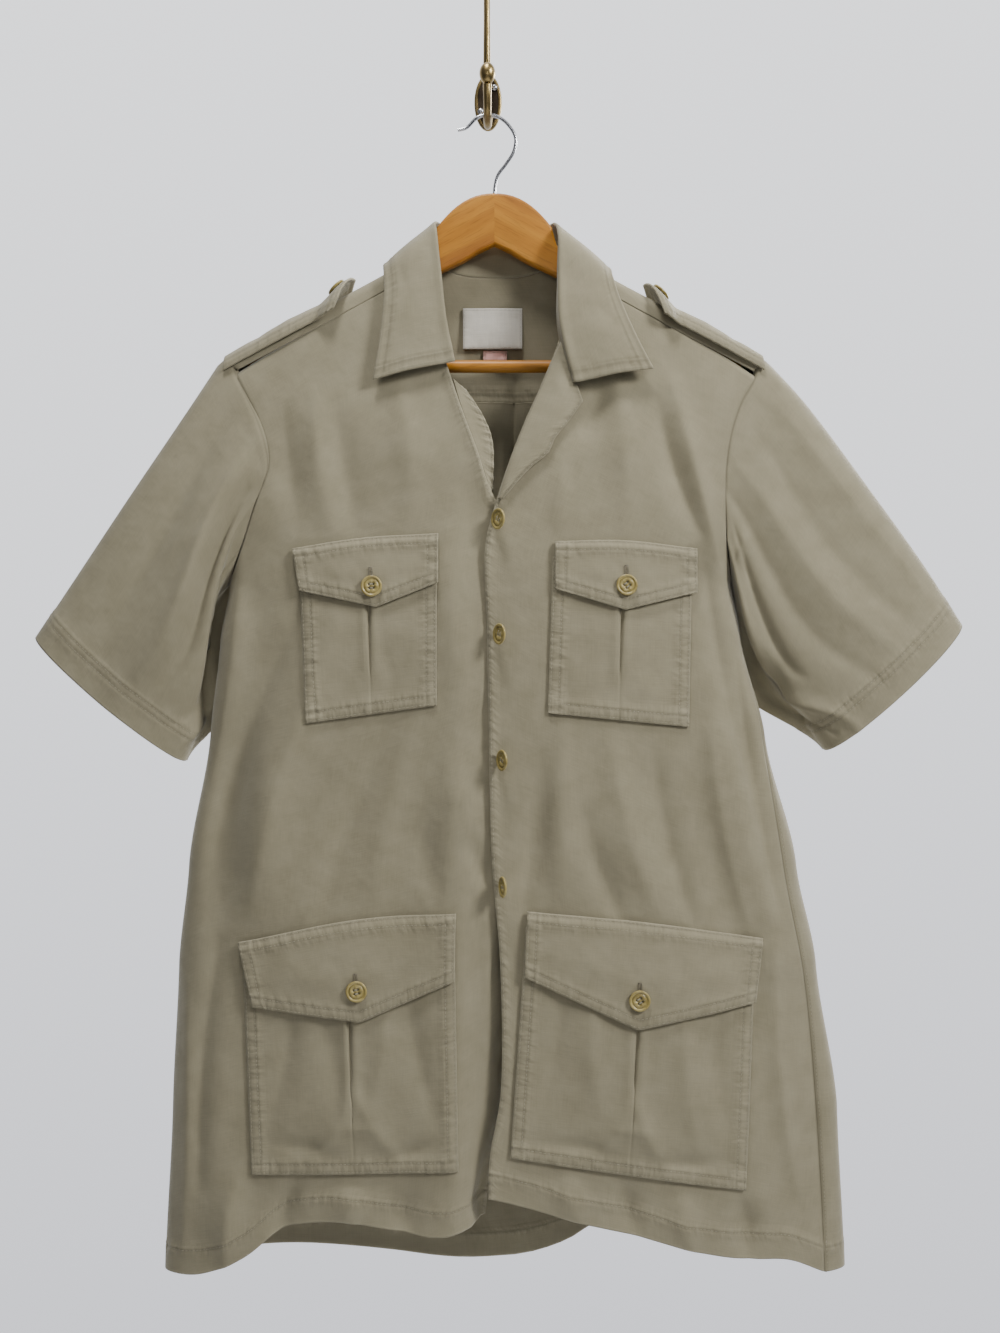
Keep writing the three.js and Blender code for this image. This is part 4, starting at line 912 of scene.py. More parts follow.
def front_panel(side):
    shares = np.linspace(0, 1, 40)
    row = yoke_row(3, shares, np.linspace(0, 1, 3))
    top = at_angles(row[:40, [0, 2]] if side == "left" else row[-40:, [0, 2]], "front")
    hem = at_angles(curve_points(HEMS[side]), "front")
    across, down = graded(250, 14, 14, coarse=3.5), graded(780, 9, 26, coarse=3.4)
    outer = by_height(side_line(side, "front"), down)
    edge = by_height(at_angles(curve_points(FRONT_EDGES[side]), "front"), down)
    left, right = (outer, edge) if side == "left" else (edge, outer)
    return Cloth(panel(top, hem, left, right, across, down, underlap if side == "left" else None))


# %% [markdown]
# The fronts' edges are folds of the cloth itself, because the facings are cut in one with the fronts, and
# they have puckered a little in the wash. The hems are turned in and sewn once, 19 mm up.

# %% Make the fronts
for side in SIDES:
    front = front_panel(side)
    opening, outer = ("right", "left") if side == "left" else ("left", "right")
    front.fold_hem(opening, ROWS["opening"], band=3.4, ply=0.5, pucker=0.34, seed=1.5)
    front.sink_seam(outer)
    front.fold_hem("bottom", ROWS["hem"], ply=0.35, pucker=0.3, seed=0.7)
    tuck_under(tuck_under(front, "top"), outer)
    cloth_object(f"front_{side}", front)

# %% [markdown]
# The back is one panel with a box pleat in its middle, pressed flat under the yoke and open below. At the
# right it comes a little round to the front, where its side seam shows.

# %% Make the back
back_top = yoke_row(0, np.linspace(0, 1, 60), np.linspace(0, 1, 30))[::-1]
across, down = graded(520, 14, 14, coarse=4.3), graded(700, 9, 26, coarse=4.0)
across = finer_between(across, **PLEAT)
back = Cloth(panel(
    at_angles(back_top[:, [0, 2]], "back"),
    at_angles(curve_points(HEMS["back"]), "back"),
    by_height(side_line("right", "back"), down),
    by_height(side_line("left", "back"), down),
    across, down,
))
back.fold_hem("bottom", ROWS["hem"], ply=0.35, pucker=0.3, seed=4.0)
for edge in ("left", "right"):
    back.sink_seam(edge, row=ROWS["side_seam"])
tuck_under(back, "top", by=0.8, sunk=0.3)
cloth_object("back", back)

# %% [markdown]
# ## Sleeves
#
# A sleeve is one tube from the armhole to the hem. Its front and its back are each a patch between the
# armhole, the hem, the fold on top and the fold under the arm, and the two halves are joined into a ring.
# The sleeve is only held up by its cloth, so soft folds run from the shoulder down to the hem, and a
# sharper one from the underarm.

# %% Points of the sleeves
SLEEVE_HEM_DEPTH = {"front": -24, "back": 19}
SLEEVES = {
    "left": {
        "outer": [(-215.5, -227), (-250, -279), (-305, -361), (-362, -447)],
        "inner": [(-206, UNDERARM_Z), (-219, -420), (-228, -460), (-230, -515), (-242, -546)],
        "dip": 6, "tuck": 34,
    },
    "right": {
        "outer": [(225.5, -227), (254, -258), (305, -326), (352, -392), (380, -437)],
        "inner": [(195, UNDERARM_Z), (206, -450), (235, -484), (253, -514), (270, -537)],
        "dip": 8, "tuck": -55,
    },
}
# Where, as a share of the way round, the back of a sleeve is drawn in under the arm, and how widely
SLEEVE_TUCK = {"share": 0.88, "width": 0.08}
SLEEVE_CREASES = {
    # shares round, from the top fold over the front, and down, at the start and at the end,
    # then bow, width and depth
    "left": [
        (0.20, 0.04, 0.265, 0.92, 3, 30, 14.0),
        (0.21, 0.1, 0.275, 0.85, 3, 7, 4.6),
        (0.27, 0.12, 0.33, 0.8, 3, 9, -8.4),
        (0.12, 0.1, 0.15, 0.8, 3, 11, -3.6),
        (0.33, 0.0, 0.38, 0.7, 3, 10, 3.0),
        (0.43, 0.0, 0.41, 0.9, 4, 7, -4.6),
        (0.47, 0.1, 0.46, 1.0, 2, 6, 4.4),
        (0.6, 0.1, 0.64, 0.9, -4, 10, 4.4),
        (0.72, 0.05, 0.76, 0.9, 4, 11, -4.2),
        (0.85, 0.1, 0.88, 0.85, 3, 11, 3.6),
    ],
    "right": [
        (0.08, 0.05, 0.06, 0.85, -3, 9, 2.4),
        (0.15, 0.1, 0.13, 0.9, 4, 10, -2.8),
        (0.24, 0.05, 0.2, 0.9, -4, 10, 3.4),
        (0.31, 0.0, 0.28, 0.95, -5, 9, -3.4),
        (0.41, 0.0, 0.39, 1.0, 4, 7, 6.0),
        (0.35, 0.1, 0.35, 0.7, 3, 6, -4.6),
        (0.455, 0.1, 0.44, 0.95, 3, 5, -4.4),
        (0.39, 0.14, 0.31, 0.2, 1, 5, 3.4),
        (0.6, 0.1, 0.63, 0.9, -4, 10, 3.4),
        (0.71, 0.05, 0.75, 0.9, 4, 11, -3.2),
        (0.86, 0.1, 0.88, 0.85, 3, 11, 2.9),
    ],
}


def coons_patch(top, bottom, left, right, across, down):
    """A patch between four lines of points."""
    u, v = across[None, :, None], down[:, None, None]
    over = mix(left[:, None], right[:, None], u)
    along = mix(top[None], bottom[None], v)
    corners = mix(mix(top[0], top[-1], u), mix(bottom[0], bottom[-1], u), v)
    return over + along - corners


def armhole_points(side, face):
    """The armhole from the shoulder line to the underarm: the yoke's end, then the panel's edge."""
    rows = [2, 2.25, 2.5, 2.75] if face == "front" else [2, 1, 0.75, 0.5, 0.25]
    ends = [over_shoulder(yoke_end_x(side, row), yoke_distance(row, yoke_end_x(side, row))) for row in rows]
    line = smooth_line(ARMHOLES[side][face], np.linspace(0, 1, 10))
    return np.array(ends + list(body_point(line[:, 0], line[:, 1], face)))


def sleeve_half(side, face, across, down):
    armhole = armhole_points(side, face)
    dense = curve_points(armhole, 8)
    top = np.stack([np.interp(across, np.linspace(0, 1, len(dense)), axis) for axis in dense.T], axis=1)
    lines = []
    for name, start in (("outer", armhole[0]), ("inner", armhole[-1])):
        line = smooth_line([(x, MIDDLE_Y, z) for x, z in SLEEVES[side][name]], down)
        line[0] = start
        lines.append(line)
    (x0, z0), (x1, z1) = SLEEVES[side]["outer"][-1], SLEEVES[side]["inner"][-1]
    along = (1 - np.cos(np.pi * across)) / 2
    bulge = np.sin(np.pi * across)
    hem = np.stack([mix(x0, x1, along), MIDDLE_Y + SLEEVE_HEM_DEPTH[face] * np.maximum(bulge, 0) ** 0.8,
                    mix(z0, z1, along) - SLEEVES[side]["dip"] * bulge], axis=1)
    patch = coons_patch(top, hem, lines[0], lines[1], across, down)
    if face == "back":
        past = (across[None, :] - SLEEVE_TUCK["share"]) / SLEEVE_TUCK["width"]
        hangs_in = np.exp(-past ** 2) * np.sin(np.pi * down[:, None] ** 1.3) ** 1.6
        patch[..., 0] += SLEEVES[side]["tuck"] * hangs_in
    return patch


# %% Make the sleeves
for side in SIDES:
    across, down = np.linspace(0, 1, 72), graded(235, 8, 30, coarse=3.4)
    front_half = sleeve_half(side, "front", across, down)
    back_half = sleeve_half(side, "back", across, down)
    ring = np.concatenate([front_half, back_half[:, -2::-1]], axis=1)
    sleeve = Cloth(ring, outward=1 if side == "left" else -1, around=True)
    sleeve.press(SLEEVE_CREASES[side])
    sleeve.points[:, -1] = sleeve.points[:, 0]
    sleeve.sink_seam("top")
    sleeve.fold_hem("bottom", ROWS["sleeve_hem"], ply=0.5, pucker=0.2, seed=3.2)
    sleeve.points[:, -1] = sleeve.points[:, 0]
    tuck_under(sleeve, "top", by=4, sunk=1.2)
    cloth_object(f"sleeve_{side}", sleeve)

# %% [markdown]
# ## The collar
#
# The collar is one piece of doubled cloth. It stands up from the neck seam, rolls over and falls as two
# leaves, with a point at each end. Fifteen sections, from its left end round the back to its right end,
# give the seam, the roll and the free edge; smooth lines through them make the surface.

# %% Make the collar
COLLAR = [
    # seam, roll, edge
    ((-28, -69, -231), (-26, -74, -232), (-89, -76, -247)),
    ((-38, -65, -201), (-33, -72, -198), (-84, -72, -213)),
    ((-43, -61, -170), (-37, -69, -163), (-81, -66, -178)),
    ((-46, -57, -138), (-41, -60, -126), (-82, -59, -157)),
    ((-47.6, -46, -123.6), (-42, -44, -114), (-83, -43, -149)),
    ((-42, -34.4, -144.1), (-34, -28, -112), (-76, -23, -158)),
    ((-22, -33.4, -153.5), (-18, -25, -112), (-42, -16, -164)),
    ((5.5, -33.1, -155.7), (5.5, -24, -112), (5.5, -14, -165)),
    ((33, -33.4, -153.5), (30, -25, -113), (55, -16, -165)),
    ((53, -34.4, -144.1), (47, -28, -113), (90, -23, -162)),
    ((58.6, -46, -123.6), (54, -44, -115), (98, -43, -152)),
    ((57, -57, -138), (57, -61, -128), (99, -60, -162)),
    ((56, -61, -170), (57, -69, -163), (104, -66, -180)),
    ((56, -67, -204), (58, -75, -202), (117, -72, -212)),
    ((66, -70, -246), (69, -77, -249), (130, -75, -238)),
]


def collar_points(across, down):
    rows = []
    for seam, roll, edge in COLLAR:
        s, r, e = np.array(seam, float), np.array(roll, float), np.array(edge, float)
        bow = np.array([0, np.sign(r[1] - MIDDLE_Y + 0.3) * 1.5, 1])
        rows.append([s, mix(s, r, 0.55), r, mix(r, e, 0.12), mix(r, e, 0.55) + bow, e])
    rows = np.array(rows)
    lines = []
    for k in range(rows.shape[1]):
        dense = curve_points(rows[:, k], 20)
        lines.append([np.interp(down, np.linspace(0, 1, len(dense)), axis) for axis in dense.T])
    lines = np.array(lines)
    sections = []
    for i in range(len(down)):
        dense = curve_points(lines[:, :, i], 24)
        sections.append([np.interp(across, np.linspace(0, 1, len(dense)), axis) for axis in dense.T])
    return np.transpose(np.array(sections), (0, 2, 1))


across = np.concatenate([np.linspace(0, 0.8, 40)[:-1], graded(32, 0, 12, fine=1.1, coarse=1.4) * 0.2 + 0.8])
collar = Cloth(collar_points(across, graded(520, 14, 14, fine=1.1, coarse=2.4)), outward=-1)
for edge in ("top", "bottom", "right"):
    collar.fold_hem(edge, ROWS["collar"], ply=0.35, pucker=0.13, seed=len(edge))
collar.press([
    (0.5, 0.1, 0.75, 0.2, 2, 7, 0.5),
    (0.6, 0.86, 0.8, 0.9, -2, 7, 0.6),
    (0.55, 0.3, 0.9, 0.35, 2, 9, -0.6),
])
cloth_object("collar", collar, thickness=DOUBLED_CLOTH)

# %% [markdown]
# ## Lapels
#
# The facings are not pressed, so each front rolls as it likes above the top button. The right one turns out
# into a small lapel with one sharp corner. The left one turns in, and a narrow, puckered strip of it shows
# in the neck opening. A strip lies between its roll and its edge, which is a list of smooth parts that meet
# at the corners.

# %% Make the lapels
LAPEL_RIGHT = {
    "roll": [(58, -214), (43, -249), (29, -281), (16, -315), (8, -341)],
    "edge": [
        [(59, -215), (67, -240), (75, -263)],
        [(75, -263), (64, -279), (53, -293), (48, -304), (32, -318), (12, -341)],
    ],
}
FACING_LEFT = {
    "roll": [(-27, -244), (-20, -268), (-8, -301), (3, -334)],
    "edge": [[(-17, -252), (-4, -272), (4, -293), (4.5, -334)]],
}
AIR, PLY = 0.5, 1.2
LAYER = AIR + PLY


def lapel_lift(across):
    return LAYER + 3.4 * np.sin(np.pi * 0.85 * across) ** 0.8


def facing_lift(across):
    return -3 - 5 * across


def strip(outline, lift, count=90):
    down, across = np.linspace(0, 1, count), np.linspace(0, 1, 22)
    roll = smooth_line(outline["roll"], down)
    edge = resample(np.vstack([curve_points(part) for part in outline["edge"]]), down)
    x = mix(roll[:, :1], edge[:, :1], across)
    z = mix(roll[:, 1:], edge[:, 1:], across)
    return body_point(x, z, "front", -lift(across) * np.ones_like(x))


lapel = Cloth(strip(LAPEL_RIGHT, lapel_lift))
lapel.fold_hem("right", ROWS["lapel"], ply=0.3, pucker=0.26, seed=1.1)
lapel.press([
    (0.3, 0.2, 0.6, 0.5, 2, 5, 0.7),
    (0.5, 0.5, 0.4, 0.8, -2, 5, -0.6),
])
cloth_object("lapel_right", lapel, thickness=PLY)
facing = Cloth(strip(FACING_LEFT, facing_lift))
facing.fold_hem("right", ROWS["lapel"], ply=0.3, pucker=0.5, seed=2.1)
cloth_object("facing_left", facing)

# %% [markdown]
# ## Shoulder straps
#
# Each strap is sewn into the armhole, lies over the shoulder and is buttoned near the collar. Its pointed
# end has no weight on it, so it stands up. It is a doubled piece, sewn twice round its edge.

# %% Make the straps
STRAP = {
    "front": 17, "back": 21, "tip_length": 14,
    "gap": 0.6, "thickness": 2, "bow": 2, "lift": 9, "lifts_from": 0.72, "shell": 1.6,
}
STRAPS = {
    "left": {"armhole": -210, "tip": -107, "button": -120},
    "right": {"armhole": 220, "tip": 126, "button": 138},
}


def strap_lift(t):
    bow = STRAP["bow"] * np.sin(np.pi * t)
    return STRAP["gap"] + STRAP["thickness"] + STRAP["lift"] * smoothstep(STRAP["lifts_from"], 1, t) + bow


for side in SIDES:
    armhole, tip = STRAPS[side]["armhole"], STRAPS[side]["tip"]
    middle, half = (STRAP["back"] - STRAP["front"]) / 2, (STRAP["back"] + STRAP["front"]) / 2
    t = graded(118, 4, 12, fine=1.2, coarse=2.4)[:, None]
    distance = (graded(38, 10, 10, fine=1.1, coarse=1.8) * 2 - 1) * half + middle
    from_middle = np.abs(distance - middle) / half
    way = np.sign(tip - armhole)
    x = armhole + way * (abs(tip - armhole) * t - STRAP["tip_length"] * from_middle * smoothstep(0.6, 1, t))
    strap = Cloth(over_shoulder(x, distance[None] + 0 * t, strap_lift(t)), outward=way)
    for edge in ("left", "right", "bottom"):
        strap.fold_hem(edge, ROWS["strap"], ply=0.25, pucker=0.22, seed=len(edge) + way)
    strap.press([
        (0.1, 0.25, 0.9, 0.32, 2, 5, -0.9),
        (0.2, 0.5, 0.8, 0.44, -2, 6, 0.6),
        (0.2, 0.75, 0.9, 0.7, 1, 6, -0.5),
    ])
    cloth_object(f"strap_{side}", strap, thickness=STRAP["shell"])

# %% [markdown]
# ## Pockets
#
# A pocket is a bag sewn on three sides, with a pleat down its middle that lets it open, and a flap with a
# point that is buttoned over it. The bag stands off the shirt a little, most in its middle. The pleat is a
# narrow fold: a groove at the top, which closes towards the bottom seam.

# %% Points of the pockets
POCKETS = {
    "chest_left": {
        "flap_top": [(-152, -379), (-96, -371), (-38, -368)],
        "flap_low": [(-146, -412), (-86, -425), (-38, -406)],
        "bag_top": [(-147, -391), (-39, -380)],
        "bag_low": [(-140, -515), (-39, -501)],
        "button": (-89, -409),
    },
    "chest_right": {
        "flap_top": [(53, -374), (106, -373), (164, -379)],
        "flap_low": [(53, -411), (107, -427), (164, -413)],
        "bag_top": [(51, -386), (160, -391)],
        "bag_low": [(47, -507), (157, -518)],
        "button": (108, -408),
    },
    "hip_left": {
        "flap_top": [(-194, -686), (-104, -667), (-24, -661)],
        "flap_low": [(-182, -735), (-97, -744), (-25, -712)],
        "bag_top": [(-190, -698), (-25, -673)],
        "bag_low": [(-183, -866), (-22, -860)],
        "button": (-100, -720),
    },
    "hip_right": {
        "flap_top": [(31, -660), (126, -669), (215, -683)],
        "flap_low": [(29, -710), (116, -750), (209, -732)],
        "bag_top": [(30, -672), (209, -695)],
        "bag_low": [(18, -850), (201, -878)],
        "button": (117, -727),
    },
}
KINDS = {
    # width and length of the grid, puff and rise of the buttonhole in mm, and the sizes cut flat in metres
    "chest": {"width": 110, "length": 125, "puff": 2.2, "hole_rise": 7.5,
              "bag_flat": (0.115, 0.13), "flap_flat": (0.115, 0.055)},
    "hip": {"width": 170, "length": 175, "puff": 4.5, "hole_rise": 4.5,
            "bag_flat": (0.175, 0.185), "flap_flat": (0.175, 0.08)},
}
FLAP_PUFF = 0.6
# A flap stands off the front by the air under the bag, the bag's ply and the bag's own bulge
FLAP_BASE = 1.0 + PLY + 1.8
# A bag's pleat in millimetres: its half width on the grid, the number of columns in it and its margin
BAG_PLEAT = {"half": 5.5, "count": 15, "margin": 1.0}
BAG_CREASES = {
    # shares across and down at the start and at the end, then bow, width and depth
    "chest_left": [
        (0.1, 0.95, 0.25, 0.8, 2, 5, 1.0),
        (0.6, 0.5, 0.66, 0.9, 2, 5, -0.9),
        (0.85, 0.4, 0.8, 0.8, 2, 6, 1.0),
    ],
    "chest_right": [
        (0.15, 0.5, 0.2, 0.9, -2, 6, 1.0),
        (0.6, 0.7, 0.75, 0.9, 2, 6, 0.9),
        (0.4, 0.6, 0.36, 0.92, 2, 5, -0.8),
    ],
    "hip_left": [
        (0.52, 0.6, 0.3, 0.93, 4, 8, 3.4),
        (0.53, 0.64, 0.72, 0.94, -4, 8, 2.8),
        (0.22, 0.2, 0.1, 0.75, 5, 9, -3.0),
        (0.34, 0.2, 0.42, 0.72, 4, 9, -2.4),
        (0.78, 0.2, 0.9, 0.8, -4, 9, -3.0),
        (0.68, 0.25, 0.6, 0.7, 3, 9, 2.4),
        (0.1, 0.86, 0.46, 0.93, 3, 6, -2.4),
        (0.6, 0.93, 0.92, 0.86, -3, 6, -2.2),
        (0.44, 0.8, 0.6, 0.8, 0, 4, 1.6),
    ],
    "hip_right": [
        (0.5, 0.62, 0.34, 0.94, 4, 8, 3.2),
        (0.5, 0.64, 0.66, 0.95, -4, 8, 3.2),
        (0.16, 0.25, 0.1, 0.8, 5, 9, -2.8),
        (0.3, 0.25, 0.36, 0.75, -4, 9, 2.6),
        (0.84, 0.2, 0.9, 0.75, -4, 9, -2.8),
        (0.7, 0.25, 0.78, 0.85, -3, 9, 2.6),
        (0.12, 0.92, 0.44, 0.92, 3, 6, -2.2),
        (0.56, 0.92, 0.9, 0.88, -3, 6, -2.4),
        (0.42, 0.8, 0.58, 0.8, 0, 4, 1.6),
    ],
}
FLAP_CREASES = [
    (0.2, 0.3, 0.35, 0.7, 1, 6, 0.5),
    (0.6, 0.3, 0.75, 0.7, -1, 7, -0.5),
    (0.42, 0.35, 0.47, 0.6, 1, 3, -0.5),
]


def on_front(x, z, out, side):
    sunk = np.where(x < 26, underlap(x, z), 0.0) if side == "left" else 0.0
    return body_point(x, z, "front", sunk - out)


def bag_points(name, across, down):
    kind, side = name.split("_")
    (ax, az), (bx, bz) = POCKETS[name]["bag_top"]
    (cx, cz), (dx, dz) = POCKETS[name]["bag_low"]
    u, v = across[None, :], down[:, None]
    x = mix(mix(ax, bx, u), mix(cx, dx, u), v)
    z = mix(mix(az, bz, u), mix(cz, dz, u), v)
    crown = (np.sin(np.pi * u) * np.sin(np.pi * np.clip(v * 0.9 + 0.08, 0, 1))) ** 0.7
    return on_front(x, z, LAYER + KINDS[kind]["puff"] * crown, side)


def pleat_depth(across, down, width_mm, length):
    """The groove of the pleat: deep and open under the flap, closed towards the bottom."""
    off = np.abs(across - 0.5)[None, :] * width_mm
    open_half = mix(1.5, 0.5, smoothstep(0.2, 0.72, down))[:, None]
    fade = (1 - smoothstep(0.62, 0.8, down))[:, None]
    groove = -2.4 * np.exp(-(off / open_half) ** 2) * fade
    shoulders = 0.9 * np.exp(-((off - 4.5) / 3.5) ** 2) * fade
    pressed_line = -0.35 * np.exp(-(off / 1.0) ** 2) * (1 - fade)
    return groove + shoulders + pressed_line


def flap_points(name, across, down):
    kind, side = name.split("_")
    top = smooth_line(POCKETS[name]["flap_top"], across)
    low = np.array(POCKETS[name]["flap_low"], float)
    bottom = np.stack([np.interp(across, (0, 0.5, 1), low[:, k]) for k in (0, 1)], axis=1)
    v = down[:, None]
    x, z = mix(top[:, 0], bottom[:, 0], v), mix(top[:, 1], bottom[:, 1], v)
    crown = np.sin(np.pi * np.clip(across, 0.06, 0.94))[None, :] ** 0.7 * np.minimum(1, v * 1.6 + 0.1)
    settle = 1.8 * (1 - smoothstep(0, 0.12, v))
    return on_front(x, z, FLAP_BASE + (KINDS[kind]["puff"] + FLAP_PUFF) * crown - settle, side)


# %% [markdown]
# The bag gets its creases before its hems, so that the stitched band lies over them. The top edge of a flap
# is sewn down twice, and its other edges are sewn twice as well.

# %% Make the pockets
flaps = {}
for name in POCKETS:
    kind, side = name.split("_")
    size = KINDS[kind]
    wide = size["width"]
    half, margin = BAG_PLEAT["half"] / wide, BAG_PLEAT["margin"] / wide
    across = graded(wide, 12, 12, fine=1.2, coarse=3.0)
    across = finer_between(across, 0.5 - half, 0.5 + half, BAG_PLEAT["count"], margin)
    down = graded(size["length"], 4, 12, fine=1.2, coarse=2.8)
    bag = Cloth(bag_points(name, across, down))
    bag.lift(pleat_depth(across, down, wide, size["length"]))
    bag.press(BAG_CREASES[name])
    for edge in ("left", "right", "bottom"):
        bag.fold_hem(edge, ROWS["pocket"], ply=0.3, pucker=0.3, seed=len(edge) + wide)
    cloth_object(f"{kind}_pocket_{side}", bag)

    across = graded(wide, 12, 12, fine=1.2, coarse=2.4)
    down = graded(50, 11, 12, fine=1.1, coarse=1.8)
    flap = Cloth(flap_points(name, across, down))
    flap.press(FLAP_CREASES)
    for edge in ("left", "right", "bottom", "top"):
        flap.fold_hem(edge, ROWS["flap"], ply=0.3, pucker=0.26, seed=2 * len(edge) + wide)
    flaps[name] = flap
    cloth_object(f"{kind}_flap_{side}", flap,
                 thickness=DOUBLED_CLOTH)

# %% [markdown]
# ## Labels inside the neck
#
# A woven label and a small tape are sewn to the yoke behind the neck. Both are bare here. They are cut from
# satin tape, so they are thinner and shinier than the shirt.

# %% Make the labels
LABELS = [
    # node, material, slot, bow out, flat size in metres
    ("neck_label", satin, "label", 1.0, (0.05, 0.035)),
    ("size_tab", pink_tape, "tab", 0.4, (0.02, 0.012)),
]
LABEL_TAPE = 0.4
for node, finish, slot, bow, size in LABELS:
    low, high = (np.array(corner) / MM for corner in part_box(node))
    u, v = np.linspace(0, 1, 34)[None, :], np.linspace(0, 1, 26)[:, None]
    x, z = mix(low[0], high[0], u) + 0 * v, mix(high[2], low[2], v) + 0 * u
    y = low[1] - bow * np.sin(np.pi * u) * np.sin(np.pi * v) + 0.2 * np.sin(9 * u + 4 * v)
    label = Cloth(np.stack([x, y, z], axis=2))
    for edge in ("left", "right", "top", "bottom"):
        label.fold_hem(edge, ROWS["label"], ply=0.1, pucker=0.12, seed=len(edge))
    cloth_object(node, label, material=finish, thickness=LABEL_TAPE)

# %% [markdown]
# ## Buttons
#
# The buttons are four-hole shirt buttons, 16 mm across, with a raised rim. One is modelled at the origin,
# facing up: the rim is a profile spun round the axis, and the floor is a disc filled between its edge and
# the edges of the four holes, then made thick. Two bars of thread run through the holes. Copies of it are
# turned to face the way each button lies.

# %% The buttons' finish
button_finish, tree, shader = start_material(
    "olive_button", (0.33, 0.26, 0.085), 0.42, Coat_Weight=0.15, Coat_Roughness=0.2)
place = object_place(tree)
streaks = noise(tree, place, 130.0, 3.0, Distortion=1.2)
streak_colours = [(0.3, (0.22, 0.165, 0.045)), (0.55, (0.33, 0.26, 0.085)), (0.8, (0.44, 0.36, 0.15))]
feed(tree, shader.inputs["Base Color"], ramp(tree, streaks, streak_colours))
feed(tree, shader.inputs["Normal"], bump(tree, 0.15, 0.0001, noise(tree, place, 900.0)))

# %% Model one button
# Radius and height of the rim's profile, in millimetres
BUTTON_RIM = [
    (5.6, 0.5), (6.6, 0.0), (7.5, 0.2), (8.1, 0.8), (8.2, 1.4), (7.9, 1.95), (7.3, 2.15), (6.7, 2.0),
    (6.1, 1.5), (5.7, 1.15),
]
BUTTON_FLOOR = {"radius": 5.9, "height": 0.5, "thickness": 0.9}
HOLES = {"radius": 1.05, "offset": 2.1, "turns": (45, 135, 225, 315)}
BARS = {"radius": 0.26, "length": 2.6, "height": 1.5, "strands": (-0.28, 0.28)}


def spin_profile(profile, steps, closed=False):
    """A mesh of a line of (radius, height) spun round the Z axis. A closed line makes a ring."""
    mesh = bmesh.new()
    verts = [mesh.verts.new((r * MM, 0, h * MM)) for r, h in profile]
    pairs = list(zip(verts, verts[1:]))
    if closed:
        pairs.append((verts[-1], verts[0]))
    edges = [mesh.edges.new(pair) for pair in pairs]
    bmesh.ops.spin(mesh, geom=verts + edges, cent=(0, 0, 0), axis=(0, 0, 1), angle=2 * math.pi, steps=steps,
                   use_merge=True)
    bmesh.ops.remove_doubles(mesh, verts=mesh.verts[:], dist=1e-6)
    bmesh.ops.recalc_face_normals(mesh, faces=mesh.faces[:])
    return mesh


def thicken(mesh, faces, way):
    """Makes faces into a solid by moving a copy of them."""
    grown = bmesh.ops.extrude_face_region(mesh, geom=faces, use_keep_orig=True)["geom"]
    moved = [g for g in grown if isinstance(g, bmesh.types.BMVert)]
    bmesh.ops.translate(mesh, verts=moved, vec=way)
    bmesh.ops.recalc_face_normals(mesh, faces=mesh.faces[:])


def button_mesh():
    mesh = spin_profile(BUTTON_RIM, steps=40, closed=True)
    loops = bmesh.ops.create_circle(mesh, segments=40, radius=BUTTON_FLOOR["radius"] * MM)["verts"]
    for turn in HOLES["turns"]:
        angle, offset = math.radians(turn), HOLES["offset"] * MM
        centre = Matrix.Translation((offset * math.cos(angle), offset * math.sin(angle), 0))
        hole = bmesh.ops.create_circle(mesh, segments=12, radius=HOLES["radius"] * MM, matrix=centre)
        loops += hole["verts"]
    rings = {edge for vert in loops for edge in vert.link_edges}
    disc = bmesh.ops.triangle_fill(mesh, use_beauty=True, use_dissolve=False, edges=list(rings))["geom"]
    bmesh.ops.translate(mesh, verts=loops, vec=(0, 0, BUTTON_FLOOR["height"] * MM))
    faces = [g for g in disc if isinstance(g, bmesh.types.BMFace)]
    thicken(mesh, faces, (0, 0, BUTTON_FLOOR["thickness"] * MM))
    return finish_mesh(mesh, "button")


def thread_bars_mesh():
    """The two bars of thread between the holes."""
    mesh = bmesh.new()
    radius, turn = BARS["radius"] * MM, Matrix.Rotation(math.pi / 2, 4, "Y")
    for side in (-1, 1):
        for strand in BARS["strands"]:
            y = side * HOLES["offset"] * 0.707 + strand
            middle = Matrix.Translation((0, y * MM, BARS["height"] * MM))
            bmesh.ops.create_cone(mesh, cap_ends=True, segments=8, radius1=radius, radius2=radius,
                                  depth=BARS["length"] * MM, matrix=middle @ turn)
    return finish_mesh(mesh, "bars", smooth=False)


button_pattern, bars_pattern = button_mesh(), thread_bars_mesh()
print("a button has", len(button_pattern.polygons), "faces")

# %% [markdown]
# The pocket buttons lie on the flaps and are the only ones that show their faces. The front buttons stand
# edge on in their buttonholes, because the fronts hang apart. Each table row gives the way a button faces
# and how far its four holes are turned.

# %% Place the buttons
BUTTONS = [
    # node, turn of the facing to the left and spin of the holes, both in degrees
    ("chest_button_left", 0, 4),
    ("chest_button_right", 0, 40),
    ("hip_button_left", 0, 12),
    ("hip_button_right", 0, 30),
    ("front_button_1", 52, 10),
    ("front_button_2", 56, 25),
    ("front_button_3", 62, 5),
    ("front_button_4", 72, 18),
]
STRAP_BUTTON_SPIN = 20
BUTTON_SEAT = 1.0


def place_button(node, facing, spin):
    """Turns copies of the patterns from +Z to the facing and moves them to the middle of the node."""
    low, high = (Vector(corner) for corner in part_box(node))
    seat = (low + high) / 2 - facing * BUTTON_SEAT * MM
    turn = Vector((0, 0, 1)).rotation_difference(facing).to_matrix().to_4x4()
    matrix = Matrix.Translation(seat) @ turn @ Matrix.Rotation(math.radians(spin), 4, "Z")
    disc, bars = button_pattern.copy(), bars_pattern.copy()
    for data, suffix in ((disc, "disc"), (bars, "thread")):
        data.name = f"{node}_{suffix}"
        data.transform(matrix)
    add_object(disc.name, disc, button_finish, node)
    add_object(bars.name, bars, thread, None)


